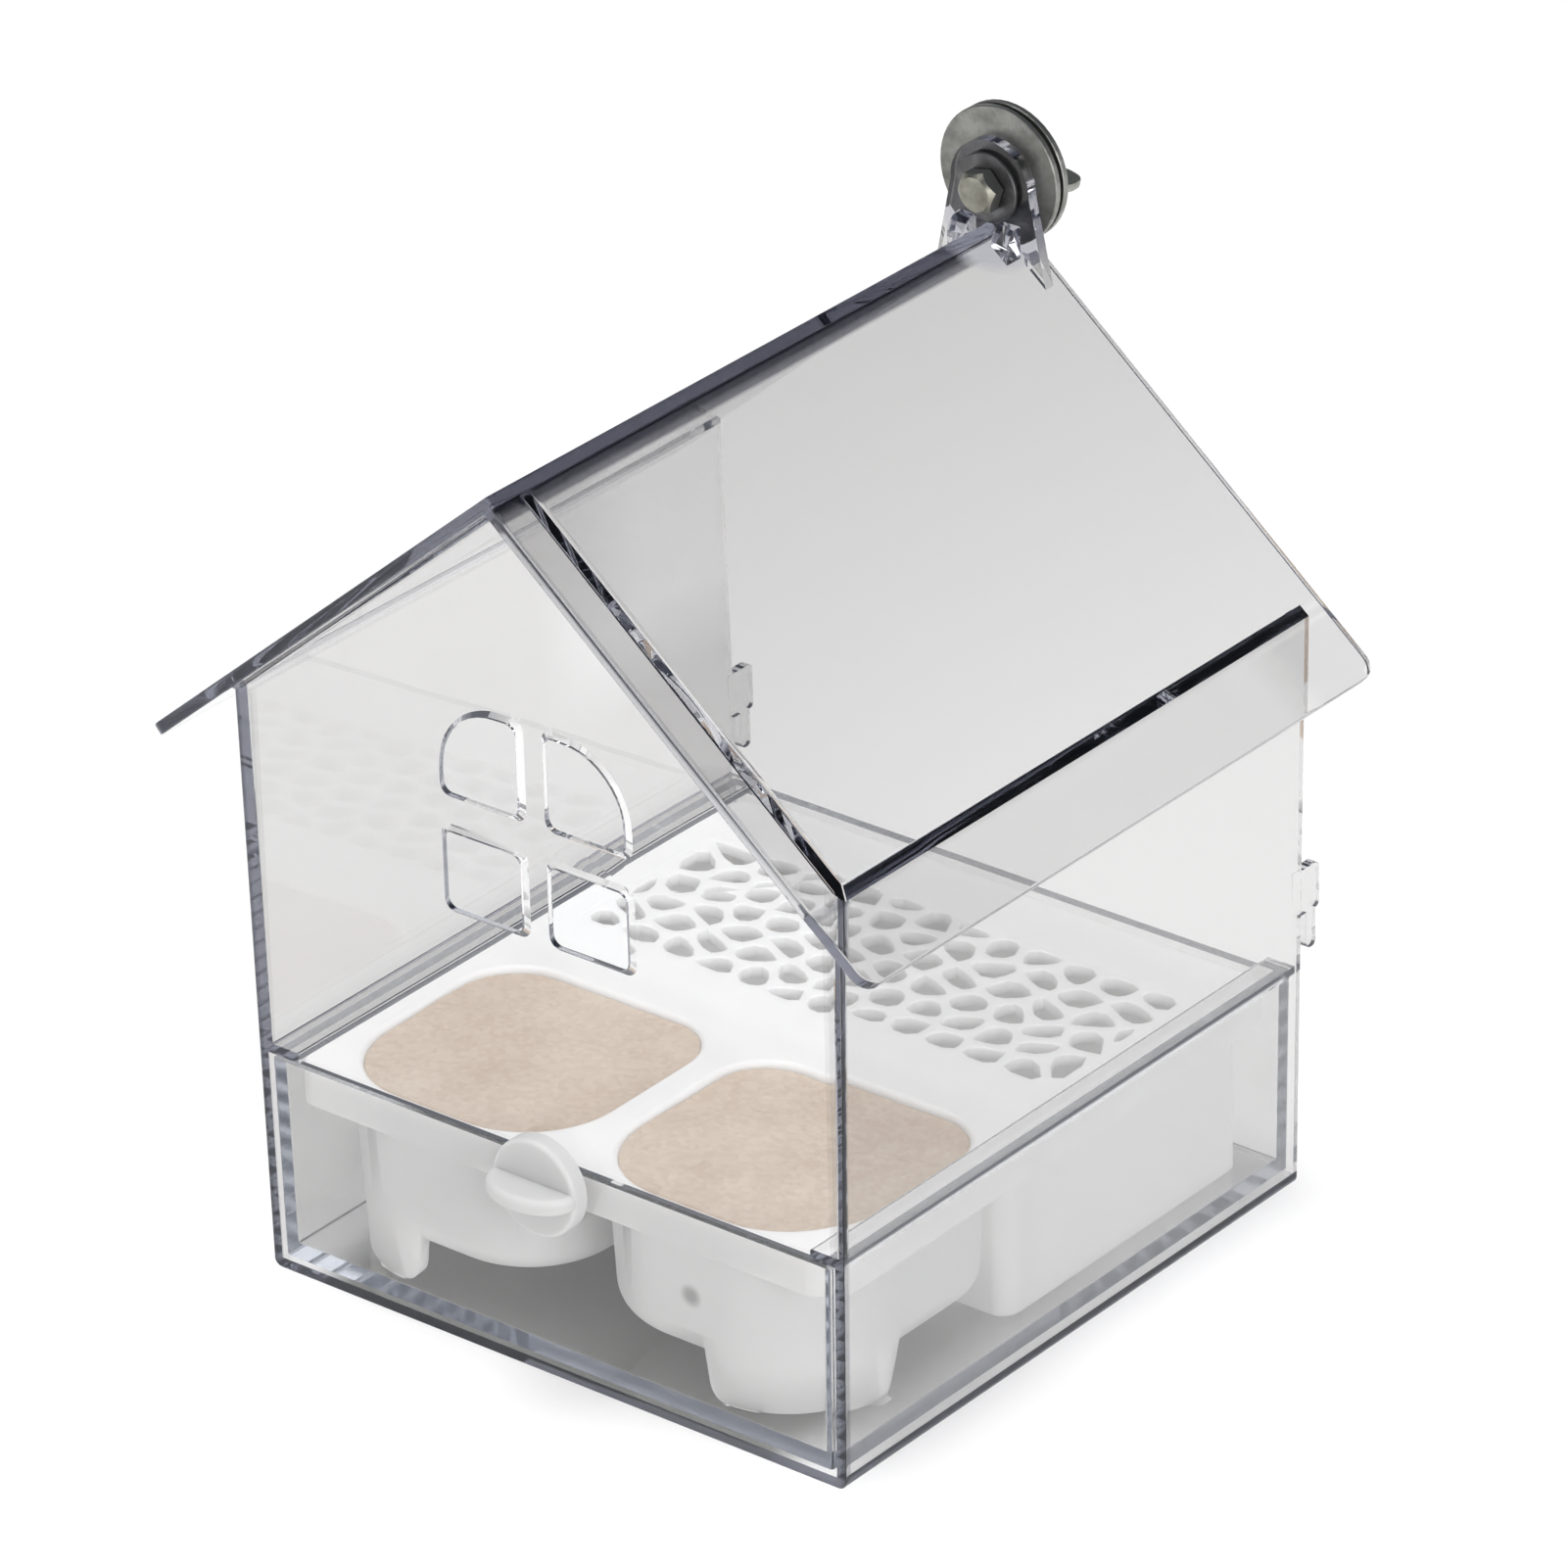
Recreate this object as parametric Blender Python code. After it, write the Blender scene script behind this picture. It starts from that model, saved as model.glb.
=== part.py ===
"""A clear, house-shaped feeder that hangs on the outside of a bird cage.

Metres, +Z up. X is the width, the drawer's knob faces -Y and the cage stands at +Y.
The middle of the base plate's underside is at the origin.
"""

import math

import bmesh
import bpy
from mathutils import Matrix, Vector

# Driving dimensions of the house
house_width = 0.146
house_depth = 0.1422
wall_height = 0.1244
apex_height = 0.1856
wall_lean = 0.0022
wall_thickness = 0.0028
foot_radius = 0.0018
base_thickness = 0.003
seam = 0.0003

# Driving dimensions of the roof
roof_thickness = 0.0026
eave_overhang = 0.0142
front_overhang = 0.0097
back_overhang = 0.0044
eave_corner_radius = 0.004
roof_rim_radius = 0.0008
notch_half_width = 0.0072

# Driving dimensions of the front wall and its window
front_thickness = 0.0026
front_wall_gap = 0.0009
window_bar_half_width = 0.0033
window_side = 0.0222
window_sill = 0.094
lower_pane_height = 0.0165
window_bar_height = 0.0079
upper_pane_height = 0.0191
window_arch_radius = 0.0142
pane_corner_radius = 0.0022

# Driving dimensions of the ledges that keep the drawer down
ledge_thickness = 0.0019
ledge_width = 0.0058

# Driving dimensions of the hooks that reach over a cage wire
hook_tip = 0.0517
finger_length = 0.0081
hook_arm_height = 0.0098
hook_reach = 0.0062
finger_front = 0.0022
finger_thickness = 0.0028
hook_corner_radius = 0.0012

# Driving dimensions of the ear and its clamp
bolt_rise = 0.0072
bolt_radius = 0.0025
bolt_length = 0.020
head_across_flats = 0.008
head_height = 0.0035
head_turn_deg = 12
ear_radius = 0.0094
ear_thickness = 0.0024
ear_set_back = 0.0005
ear_foot_half_width = 0.0126
ear_bore_radius = 0.0028
brace_inner_x = 0.0034
brace_outer_x = 0.0072
brace_length = 0.0042
brace_height = 0.0024
small_washer_radius = 0.0072
small_washer_bore = 0.0028
small_washer_thickness = 0.0009
clamp_washer_radius = 0.0141
clamp_washer_bore = 0.0042
clamp_washer_thickness = 0.0014
clamp_washer_lift = 0.0013
clamp_gap = 0.001
washer_edge = 0.0002
thread_clearance = 0.0001

# Driving dimensions of the wing nut
nut_length = 0.0042
nut_base_radius = 0.0048
nut_tip_radius = 0.0038
wing_reach = 0.0104
wing_height = 0.0098
wing_thickness = 0.002
wing_root = 0.0022
wing_tip_radius = 0.0026
wing_turn_deg = 14

# Driving dimensions of the drawer
drawer_clearance = 0.00045
drawer_thickness = 0.0026
drawer_floor_gap = 0.0004
drawer_top_z = 0.0467
drawer_back_recess = 0.0005
drawer_corner_radius = 0.0012

# Driving dimensions of the knob
knob_drop = 0.0041
knob_radius = 0.0102
knob_disc_thickness = 0.0026
knob_edge_radius = 0.0008
tongue_reach = 0.0082
tongue_half_width = 0.0098
tongue_thickness = 0.0032
peg_radius = 0.003

# Driving dimensions of the feeding insert
insert_recess = 0.0007
insert_plate = 0.0022
insert_side_clearance = 0.001
insert_end_clearance = 0.0004
insert_corner_radius = 0.0048
insert_edge_radius = 0.0008
lip_height = 0.0082
lip_thickness = 0.0018
cup_side_inset = 0.0052
cup_front_inset = 0.0024
cup_parting = 0.0076
cup_length = 0.0548
cup_corner_radius = 0.0192
cup_wall = 0.0016
cup_stand_height = 0.0078
cup_rim_radius = 0.0009
cup_draft = 0.0009
cup_floor_radius = 0.006
leg_root_rise = 0.0048
leg_front_root = 0.0222
leg_front_foot = 0.0182
leg_back_root = 0.0202
leg_back_foot = 0.0112
leg_thickness = 0.002
leg_toe = 0.0016
skirt_side_inset = 0.0035
skirt_back_inset = 0.0053
skirt_cup_overlap = 0.0019
skirt_floor_gap = 0.0006
skirt_thickness = 0.0018
skirt_corner_radius = 0.004

# Driving dimensions of the perforated standing area
grille_side_inset = 0.0022
grille_front_inset = 0.0196
grille_back_inset = 0.0091
grille_thickness = 0.0026
grille_border = 0.0012
grille_bar = 0.0021
grille_corner_radius = 0.003
grille_columns = 12
grille_rows = 6
grille_wander_share = 0.26
cell_smooth_share = 0.27

# Places that follow from the driving dimensions of the house and its roof
half_depth = house_depth / 2
roof_slope = (apex_height - wall_height) / (house_width / 2)
roof_pitch = math.atan(roof_slope)
roof_seam = seam / math.cos(roof_pitch)
roof_rise = roof_thickness / math.cos(roof_pitch)
eave_x = house_width / 2 + eave_overhang
ledge_bottom = drawer_top_z + seam
ledge_top = ledge_bottom + ledge_thickness
front_wall_bottom = drawer_top_z + front_wall_gap
lower_pane_top = window_sill + lower_pane_height
upper_pane_bottom = lower_pane_top + window_bar_height
window_crown = upper_pane_bottom + upper_pane_height
hook_arm_bottom = hook_tip + finger_length
hook_top = hook_arm_bottom + hook_arm_height

# Places along the clamp's bolt
bolt_height = apex_height + roof_rise + bolt_rise
ear_back_y = half_depth + ear_set_back
ear_front_y = ear_back_y - ear_thickness
small_washer_back_y = ear_front_y - seam
head_back_y = small_washer_back_y - small_washer_thickness - seam
front_clamp_y = ear_back_y + seam
rear_clamp_y = front_clamp_y + clamp_washer_thickness + clamp_gap
nut_front_y = rear_clamp_y + clamp_washer_thickness + seam

# Places in the drawer
drawer_floor_z = base_thickness + drawer_floor_gap
drawer_inner_z = drawer_floor_z + drawer_thickness
drawer_back_y = half_depth - drawer_back_recess
knob_height = drawer_top_z - knob_drop
insert_top_z = drawer_top_z - insert_recess
insert_front_y = -half_depth + drawer_thickness + insert_end_clearance
insert_back_y = drawer_back_y - drawer_thickness - insert_end_clearance

# Colours as the photo shows them: red, green, blue, alpha
clear_colour = (0.83, 0.84, 0.86, 0.3)
tinted_clear_colour = (0.76, 0.78, 0.84, 0.32)
white_colour = (0.88, 0.88, 0.87, 1.0)
zinc_colour = (0.50, 0.50, 0.46, 1.0)
dull_zinc_colour = (0.44, 0.44, 0.40, 1.0)
bolt_colour = (0.55, 0.54, 0.47, 1.0)

full_turn = 2 * math.pi
fine_steps = 48
sharp_angle = math.radians(32)
merge_distance = 0.000001


def wall_outer_x(height):
    """Half the house's width at a height, over the leaning side walls."""
    return house_width / 2 - wall_lean * (1 - height / wall_height)


def wall_inner_x(height):
    """Half the room between the side walls at a height."""
    return wall_outer_x(height) - wall_thickness


def roof_underside(across):
    """Height of the roof's underside at a distance from the ridge."""
    return apex_height - roof_slope * abs(across)


def roof_topside(across):
    """Height of the roof's upper face at a distance from the ridge."""
    return roof_underside(across) + roof_rise


def drawer_half_width(height):
    """Half the drawer's outer width at a height, just inside the leaning walls."""
    return wall_inner_x(height) - drawer_clearance


def insert_half_width(height):
    """Half the insert's width at a height, just inside the drawer's walls."""
    return drawer_half_width(height) - drawer_thickness - insert_side_clearance


# Places in the insert
cup_half_width = (insert_half_width(insert_top_z) - cup_side_inset - cup_parting / 2) / 2
cup_half_length = cup_length / 2
cup_centre_x = cup_parting / 2 + cup_half_width
cup_centre_y = insert_front_y + cup_front_inset + cup_half_length
cup_underside_z = drawer_inner_z + cup_stand_height
lip_bottom_z = insert_top_z - lip_height
leg_root_z = cup_underside_z + leg_root_rise
skirt_half_width = insert_half_width(insert_top_z) - skirt_side_inset
skirt_front_y = cup_centre_y + cup_half_length - skirt_cup_overlap
skirt_back_y = insert_back_y - skirt_back_inset
skirt_bottom_z = drawer_inner_z + skirt_floor_gap
grille_half_width = skirt_half_width - grille_side_inset
grille_front_y = skirt_front_y + grille_front_inset
grille_back_y = skirt_back_y - grille_back_inset


def make_material(name, colour, roughness, metallic, transmission):
    """One Principled surface."""
    material = bpy.data.materials.new(name)
    material.use_nodes = True
    material.diffuse_color = colour
    surface = material.node_tree.nodes["Principled BSDF"]
    surface.inputs["Base Color"].default_value = colour
    surface.inputs["Roughness"].default_value = roughness
    surface.inputs["Metallic"].default_value = metallic
    surface.inputs["Transmission Weight"].default_value = transmission
    surface.inputs["Alpha"].default_value = colour[3]
    return material


def clear_plastic(name, colour):
    """Polished clear sheet."""
    return make_material(name, colour, 0.06, 0.0, 0.6)


def white_plastic(name):
    """White moulded plastic."""
    return make_material(name, white_colour, 0.42, 0.0, 0.0)


def plated_steel(name, colour, roughness):
    """Zinc-plated steel."""
    return make_material(name, colour, roughness, 1.0, 0.0)


def finish_object(name, shape, material):
    """Turn a shape into a named object with outward faces and its own material."""
    bmesh.ops.recalc_face_normals(shape, faces=shape.faces)
    mesh = bpy.data.meshes.new(name)
    shape.to_mesh(mesh)
    shape.free()
    mesh.shade_smooth()
    mesh.set_sharp_from_angle(angle=sharp_angle)
    thing = bpy.data.objects.new(name, mesh)
    bpy.context.scene.collection.objects.link(thing)
    if material is not None:
        mesh.materials.append(material)
    return thing


def guide(name, shape):
    """A tool body for a Boolean, not a piece of the feeder."""
    thing = finish_object(name, shape, None)
    thing.hide_render = True
    thing.display_type = "WIRE"
    return thing


def add_boolean(thing, tool, operation):
    """Join a tool body to an object or cut it away."""
    change = thing.modifiers.new(tool.name, "BOOLEAN")
    change.operation = operation
    change.solver = "EXACT"
    change.object = tool


def rounded_outline(corners, radii, steps):
    """A closed 2-D outline whose corners are arcs of their own radii."""
    points = []
    count = len(corners)
    for index in range(count):
        here = Vector(corners[index])
        radius = radii[index]
        if radius == 0:
            points.append(here)
            continue
        toward_before = (Vector(corners[index - 1]) - here).normalized()
        toward_after = (Vector(corners[(index + 1) % count]) - here).normalized()
        half_angle = toward_before.angle(toward_after) / 2
        middle = here + (toward_before + toward_after).normalized() * (radius / math.sin(half_angle))
        start = here + toward_before * (radius / math.tan(half_angle)) - middle
        turn = math.pi - 2 * half_angle
        if toward_before.x * toward_after.y - toward_before.y * toward_after.x > 0:
            turn = -turn
        for step in range(steps + 1):
            points.append(middle + Matrix.Rotation(turn * step / steps, 2) @ start)
    return points


def rectangle(low_x, high_x, low_y, high_y, radius, steps):
    """A rounded rectangle, counter-clockwise."""
    corners = [(low_x, low_y), (high_x, low_y), (high_x, high_y), (low_x, high_y)]
    return rounded_outline(corners, [radius] * 4, steps)


def at_height(outline, height):
    """Lift a 2-D outline to a height."""
    return [Vector((point.x, point.y, height)) for point in outline]


def stack(rings, closed):
    """Skin a row of equal rings, with caps on its ends or joined end to end."""
    shape = bmesh.new()
    rows = [[shape.verts.new(point) for point in ring] for ring in rings]
    pairs = list(zip(rows, rows[1:]))
    if closed:
        pairs.append((rows[-1], rows[0]))
    else:
        shape.faces.new(rows[0][::-1])
        shape.faces.new(rows[-1])
    count = len(rows[0])
    for lower, upper in pairs:
        for index in range(count):
            after = (index + 1) % count
            shape.faces.new((lower[index], lower[after], upper[after], upper[index]))
    return shape


def plate(outline, start, end):
    """A 2-D outline extruded along its own normal."""
    shape = bmesh.new()
    face = shape.faces.new([shape.verts.new((point[0], point[1], start)) for point in outline])
    grown = bmesh.ops.extrude_face_region(shape, geom=[face])
    moved = [item for item in grown["geom"] if isinstance(item, bmesh.types.BMVert)]
    bmesh.ops.translate(shape, verts=moved, vec=(0, 0, end - start))
    return shape


def upright_plate(outline, front_y, back_y):
    """An outline drawn in X and Z, extruded from front to back."""
    shape = plate(outline, -back_y, -front_y)
    bmesh.ops.transform(shape, matrix=Matrix.Rotation(math.pi / 2, 4, "X"), verts=shape.verts)
    return shape


def side_plate(outline, low_x, high_x):
    """An outline drawn in Y and Z, extruded from left to right."""
    shape = plate(outline, low_x, high_x)
    turn = Matrix.Rotation(math.pi / 2, 4, "Z") @ Matrix.Rotation(math.pi / 2, 4, "X")
    bmesh.ops.transform(shape, matrix=turn, verts=shape.verts)
    return shape


def turned(profile, steps):
    """A closed profile of (radius, y) points spun about the Y axis."""
    shape = bmesh.new()
    points = [shape.verts.new((radius, along, 0)) for radius, along in profile]
    edges = [shape.edges.new((points[index - 1], points[index])) for index in range(len(points))]
    bmesh.ops.spin(shape, geom=points + edges, cent=(0, 0, 0), axis=(0, 1, 0), dvec=(0, 0, 0),
                   angle=full_turn, steps=steps, use_merge=True, use_duplicate=False)
    bmesh.ops.remove_doubles(shape, verts=shape.verts, dist=merge_distance)
    return shape


def rod(radius, front_y, back_y, steps):
    """A solid cylinder along Y about the origin's X and Z."""
    outline = []
    for step in range(steps):
        angle = full_turn * step / steps
        outline.append((radius * math.cos(angle), radius * math.sin(angle)))
    return upright_plate(outline, front_y, back_y)


def shifted(shape, offset):
    """Move a shape's points."""
    bmesh.ops.translate(shape, verts=shape.verts, vec=offset)
    return shape


def mirrored_points(outline):
    """The same outline on the other side of the house."""
    return [(-point[0], point[1]) for point in reversed(outline)]


def build_side_wall(name, side, material):
    """One leaning side wall, as deep as the house, with its top cut to the roof's pitch."""
    outer_top = wall_height - roof_seam
    inner_top = roof_underside(wall_inner_x(wall_height)) - roof_seam
    corners = [(wall_inner_x(0), 0), (wall_outer_x(0), 0),
               (wall_outer_x(outer_top), outer_top), (wall_inner_x(inner_top), inner_top)]
    outline = rounded_outline(corners, [0, foot_radius, 0, 0], 4)
    if side < 0:
        outline = mirrored_points(outline)
    return finish_object(name, upright_plate(outline, -half_depth, half_depth), material)


def build_hook(name, side, material):
    """The arm and hanging finger on the back edge of a side wall."""
    root_y = half_depth + seam
    tip_y = half_depth + hook_reach
    corners = [(root_y, hook_arm_bottom), (half_depth + finger_front, hook_arm_bottom),
               (half_depth + finger_front, hook_tip),
               (half_depth + finger_front + finger_thickness, hook_tip),
               (half_depth + finger_front + finger_thickness, hook_arm_bottom),
               (tip_y, hook_arm_bottom + finger_front), (tip_y, hook_top), (root_y, hook_top)]
    radii = [0, hook_corner_radius / 3, hook_corner_radius / 2, hook_corner_radius / 2, 0,
             hook_corner_radius, hook_corner_radius, 0]
    outline = rounded_outline(corners, radii, 3)
    low_x = wall_outer_x(hook_tip) - wall_thickness
    high_x = wall_outer_x(hook_tip)
    if side < 0:
        low_x, high_x = -high_x, -low_x
    return finish_object(name, side_plate(outline, low_x, high_x), material)


def build_base(material):
    """The floor between the side walls."""
    reach = wall_inner_x(0) - seam
    shape = plate(rectangle(-reach, reach, -half_depth, half_depth, foot_radius / 3, 2), 0, base_thickness)
    return finish_object("base_plate", shape, material)


def build_ledge(name, side, material):
    """The rib inside a side wall, just above the drawer's edge."""
    outer_low = wall_inner_x(ledge_bottom) - seam
    outline = [(outer_low - ledge_width, ledge_bottom), (outer_low, ledge_bottom),
               (wall_inner_x(ledge_top) - seam, ledge_top), (outer_low - ledge_width, ledge_top)]
    if side < 0:
        outline = mirrored_points(outline)
    front_y = -half_depth + front_thickness + seam
    return finish_object(name, upright_plate(outline, front_y, drawer_back_y), material)


def pane_outline(side, upper):
    """One of the window's four panes. The two upper ones share an arched crown."""
    inner = side * window_bar_half_width
    outer = side * window_side
    low = upper_pane_bottom if upper else window_sill
    high = window_crown if upper else lower_pane_top
    corners = [(inner, low), (outer, low), (outer, high), (inner, high)]
    crown = window_arch_radius if upper else pane_corner_radius
    radii = [pane_corner_radius, pane_corner_radius, crown, pane_corner_radius]
    outline = rounded_outline(corners, radii, 6)
    return outline if side > 0 else outline[::-1]


def build_front_wall(material):
    """The gable wall above the drawer, with a four-pane window cut through it."""
    low = front_wall_bottom
    shoulder_x = wall_inner_x(wall_height) - seam
    shoulder_z = roof_underside(shoulder_x) - roof_seam
    reach = wall_inner_x(low) - seam
    corners = [(-reach, low), (reach, low), (shoulder_x, shoulder_z),
               (0, apex_height - roof_seam), (-shoulder_x, shoulder_z)]
    shape = upright_plate(corners, -half_depth, -half_depth + front_thickness)
    wall = finish_object("front_wall", shape, material)
    for side in (-1, 1):
        for upper in (False, True):
            label = "pane_{}_{}".format("upper" if upper else "lower", "left" if side < 0 else "right")
            hole = upright_plate(pane_outline(side, upper), -half_depth - front_thickness,
                                 -half_depth + 2 * front_thickness)
            add_boolean(wall, guide(label, hole), "DIFFERENCE")
    return wall


def build_roof_panel(name, side, material):
    """One slope of the roof, cut square at the ridge, with rounded eave corners."""
    ridge_x = seam / 2
    front_y = -half_depth - front_overhang
    back_y = half_depth + back_overhang
    drop = roof_thickness * math.sin(roof_pitch)
    under_x = eave_x - drop
    corners = [(ridge_x, roof_underside(ridge_x)), (under_x, roof_underside(under_x)),
               (eave_x, roof_topside(eave_x)), (ridge_x, roof_topside(ridge_x))]
    shape = upright_plate(corners, front_y, back_y)
    eave_edges = [edge for edge in shape.edges
                  if all(vert.co.x > under_x - merge_distance for vert in edge.verts)
                  and abs(edge.verts[0].co.y - edge.verts[1].co.y) < merge_distance]
    bmesh.ops.bevel(shape, geom=eave_edges, offset=eave_corner_radius, segments=6, profile=0.5,
                    affect="EDGES")
    normal = Vector((math.sin(roof_pitch), 0, math.cos(roof_pitch)))
    bmesh.ops.recalc_face_normals(shape, faces=shape.faces)
    rims = []
    for edge in shape.edges:
        facing = sorted(abs(face.normal.dot(normal)) for face in edge.link_faces)
        at_ridge = all(vert.co.x < ridge_x + merge_distance for vert in edge.verts)
        if facing[0] < 0.3 and facing[1] > 0.9 and not at_ridge:
            rims.append(edge)
    bmesh.ops.bevel(shape, geom=rims, offset=roof_rim_radius, segments=2, profile=0.5, affect="EDGES")
    if side < 0:
        bmesh.ops.scale(shape, vec=(-1, 1, 1), verts=shape.verts)
    panel = finish_object(name, shape, material)
    notch = rectangle(-notch_half_width, notch_half_width, ear_back_y - seam, back_y + notch_half_width,
                      pane_corner_radius, 4)
    cutter = guide(name + "_notch", plate(notch, wall_height, apex_height + notch_half_width))
    add_boolean(panel, cutter, "DIFFERENCE")
    return panel


def ear_outline():
    """A round-topped ear whose flared foot sits astride the ridge."""
    foot = Vector((ear_foot_half_width, roof_topside(ear_foot_half_width) + roof_seam - bolt_height))
    lean = math.atan2(foot.y, foot.x) + math.acos(ear_radius / foot.length)
    steps = 24
    points = [(foot.x, foot.y + bolt_height)]
    for step in range(steps + 1):
        angle = lean + (math.pi - 2 * lean) * step / steps
        points.append((ear_radius * math.cos(angle), ear_radius * math.sin(angle) + bolt_height))
    points.append((-foot.x, foot.y + bolt_height))
    points.append((0, roof_topside(0) + roof_seam))
    return points


def build_ear(material):
    """The clear ear on the ridge that the bolt passes through, with two braces in front of it."""
    ear = finish_object("hanger_ear", upright_plate(ear_outline(), ear_front_y, ear_back_y), material)
    for side in (-1, 1):
        inner, outer = side * brace_inner_x, side * brace_outer_x
        low_inner = roof_topside(inner) + 2 * roof_seam
        low_outer = roof_topside(outer) + 2 * roof_seam
        outline = [(inner, low_inner), (outer, low_outer), (outer, low_outer + brace_height),
                   (inner, low_inner + brace_height)]
        if side < 0:
            outline = outline[::-1]
        shape = upright_plate(outline, ear_front_y - brace_length, ear_back_y - ear_thickness / 2)
        toe = [edge for edge in shape.edges
               if all(vert.co.y < ear_front_y - brace_length + merge_distance for vert in edge.verts)
               and all(vert.co.z > roof_topside(vert.co.x) + brace_height for vert in edge.verts)]
        bmesh.ops.bevel(shape, geom=toe, offset=brace_height * 0.8, segments=3, profile=0.5, affect="EDGES")
        add_boolean(ear, guide("ear_brace_" + ("left" if side < 0 else "right"), shape), "UNION")
    bore = shifted(rod(ear_bore_radius, ear_front_y - ear_thickness, ear_back_y + ear_thickness, fine_steps),
                   (0, 0, bolt_height))
    add_boolean(ear, guide("ear_bore", bore), "DIFFERENCE")
    return ear


def build_washer(name, front_y, height, outer, bore, thickness, material):
    """A flat washer with lightly broken edges, standing square to the bolt."""
    edge = washer_edge
    profile = [(bore, 0), (outer - edge, 0), (outer, edge), (outer, thickness - edge),
               (outer - edge, thickness), (bore, thickness)]
    thing = finish_object(name, turned(profile, fine_steps), material)
    thing.location = (0, front_y, height)
    return thing


def build_bolt(material):
    """The hexagon head and its shank."""
    corner = head_across_flats / 2 / math.cos(math.pi / 6)
    outline = []
    for step in range(6):
        angle = math.radians(head_turn_deg) + full_turn * step / 6
        outline.append((corner * math.cos(angle), corner * math.sin(angle)))
    head = upright_plate(outline, -head_height, 0)
    bolt = finish_object("hex_bolt", head, material)
    chamfer = head_height / 6
    bowl = [(0, -head_height), (head_across_flats / 2 - chamfer / 2, -head_height),
            (corner, -head_height + chamfer), (corner + chamfer, 0), (0, 0)]
    crown = bmesh.new()
    verts = [crown.verts.new((radius, along, 0)) for radius, along in bowl]
    edges = [crown.edges.new((verts[index], verts[index + 1])) for index in range(len(verts) - 1)]
    bmesh.ops.spin(crown, geom=verts + edges, cent=(0, 0, 0), axis=(0, 1, 0), dvec=(0, 0, 0),
                   angle=full_turn, steps=fine_steps, use_merge=True, use_duplicate=False)
    bmesh.ops.remove_doubles(crown, verts=crown.verts, dist=merge_distance)
    add_boolean(bolt, guide("head_crown", crown), "INTERSECT")
    shank = rod(bolt_radius, -head_height / 2, bolt_length, fine_steps)
    add_boolean(bolt, guide("bolt_shank", shank), "UNION")
    bolt.location = (0, head_back_y, bolt_height)
    for tool in ("head_crown", "bolt_shank"):
        bpy.data.objects[tool].location = bolt.location
    return bolt


def build_wing_nut(material):
    """A wing nut on the bolt's end, behind the cage wires."""
    profile = [(bolt_radius + thread_clearance, 0), (nut_base_radius, 0),
               (nut_tip_radius, nut_length), (bolt_radius + thread_clearance, nut_length)]
    nut = finish_object("wing_nut", turned(profile, fine_steps), material)
    tools = []
    for side in (-1, 1):
        inner_x = bolt_radius + thread_clearance + washer_edge
        corners = [(inner_x, nut_length * 0.1), (nut_base_radius, nut_length * 0.1),
                   (wing_reach, wing_root + wing_tip_radius), (wing_reach, wing_height),
                   (wing_reach - 2 * wing_tip_radius, wing_height), (inner_x, nut_length * 0.9)]
        radii = [0, 0, wing_tip_radius * 0.9, wing_tip_radius * 0.9, wing_tip_radius * 0.9, 0]
        outline = rounded_outline(corners, radii, 4)
        if side < 0:
            outline = mirrored_points(outline)
        shape = plate(outline, -wing_thickness / 2, wing_thickness / 2)
        label = "wing_" + ("left" if side < 0 else "right")
        tool = guide(label, shape)
        add_boolean(nut, tool, "UNION")
        tools.append(tool)
    for thing in [nut] + tools:
        thing.location = (0, nut_front_y, bolt_height)
        thing.rotation_euler = (0, math.radians(wing_turn_deg), 0)
    return nut


def drawer_outline(height, inset):
    """The drawer's plan at a height, in from its outer faces by an inset."""
    reach = drawer_half_width(height) - inset
    radius = drawer_corner_radius
    return at_height(rectangle(-reach, reach, -half_depth + inset, drawer_back_y - inset, radius, 3), height)


def build_drawer(material):
    """The clear drawer: a floor, three low walls and the front panel, in one moulding."""
    rings = [drawer_outline(drawer_floor_z, 0), drawer_outline(drawer_top_z, 0),
             drawer_outline(drawer_top_z, drawer_thickness), drawer_outline(drawer_inner_z, drawer_thickness)]
    drawer = finish_object("drawer_box", stack(rings, False), material)
    hole = rod(peg_radius + seam, -half_depth - drawer_thickness, -half_depth + 2 * drawer_thickness,
               fine_steps)
    add_boolean(drawer, guide("peg_hole", shifted(hole, (0, 0, knob_height))), "DIFFERENCE")
    return drawer


def tongue_outline(inset):
    """The half-oval grip seen from above, in from its edge by an inset."""
    steps = 20
    points = []
    for step in range(steps + 1):
        angle = math.pi + math.pi * step / steps
        points.append(Vector(((tongue_half_width - inset) * math.cos(angle),
                              (tongue_reach - inset) * math.sin(angle))))
    root = knob_disc_thickness / 2
    points.append(Vector((tongue_half_width - inset, root)))
    points.append(Vector((-tongue_half_width + inset, root)))
    return points


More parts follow.
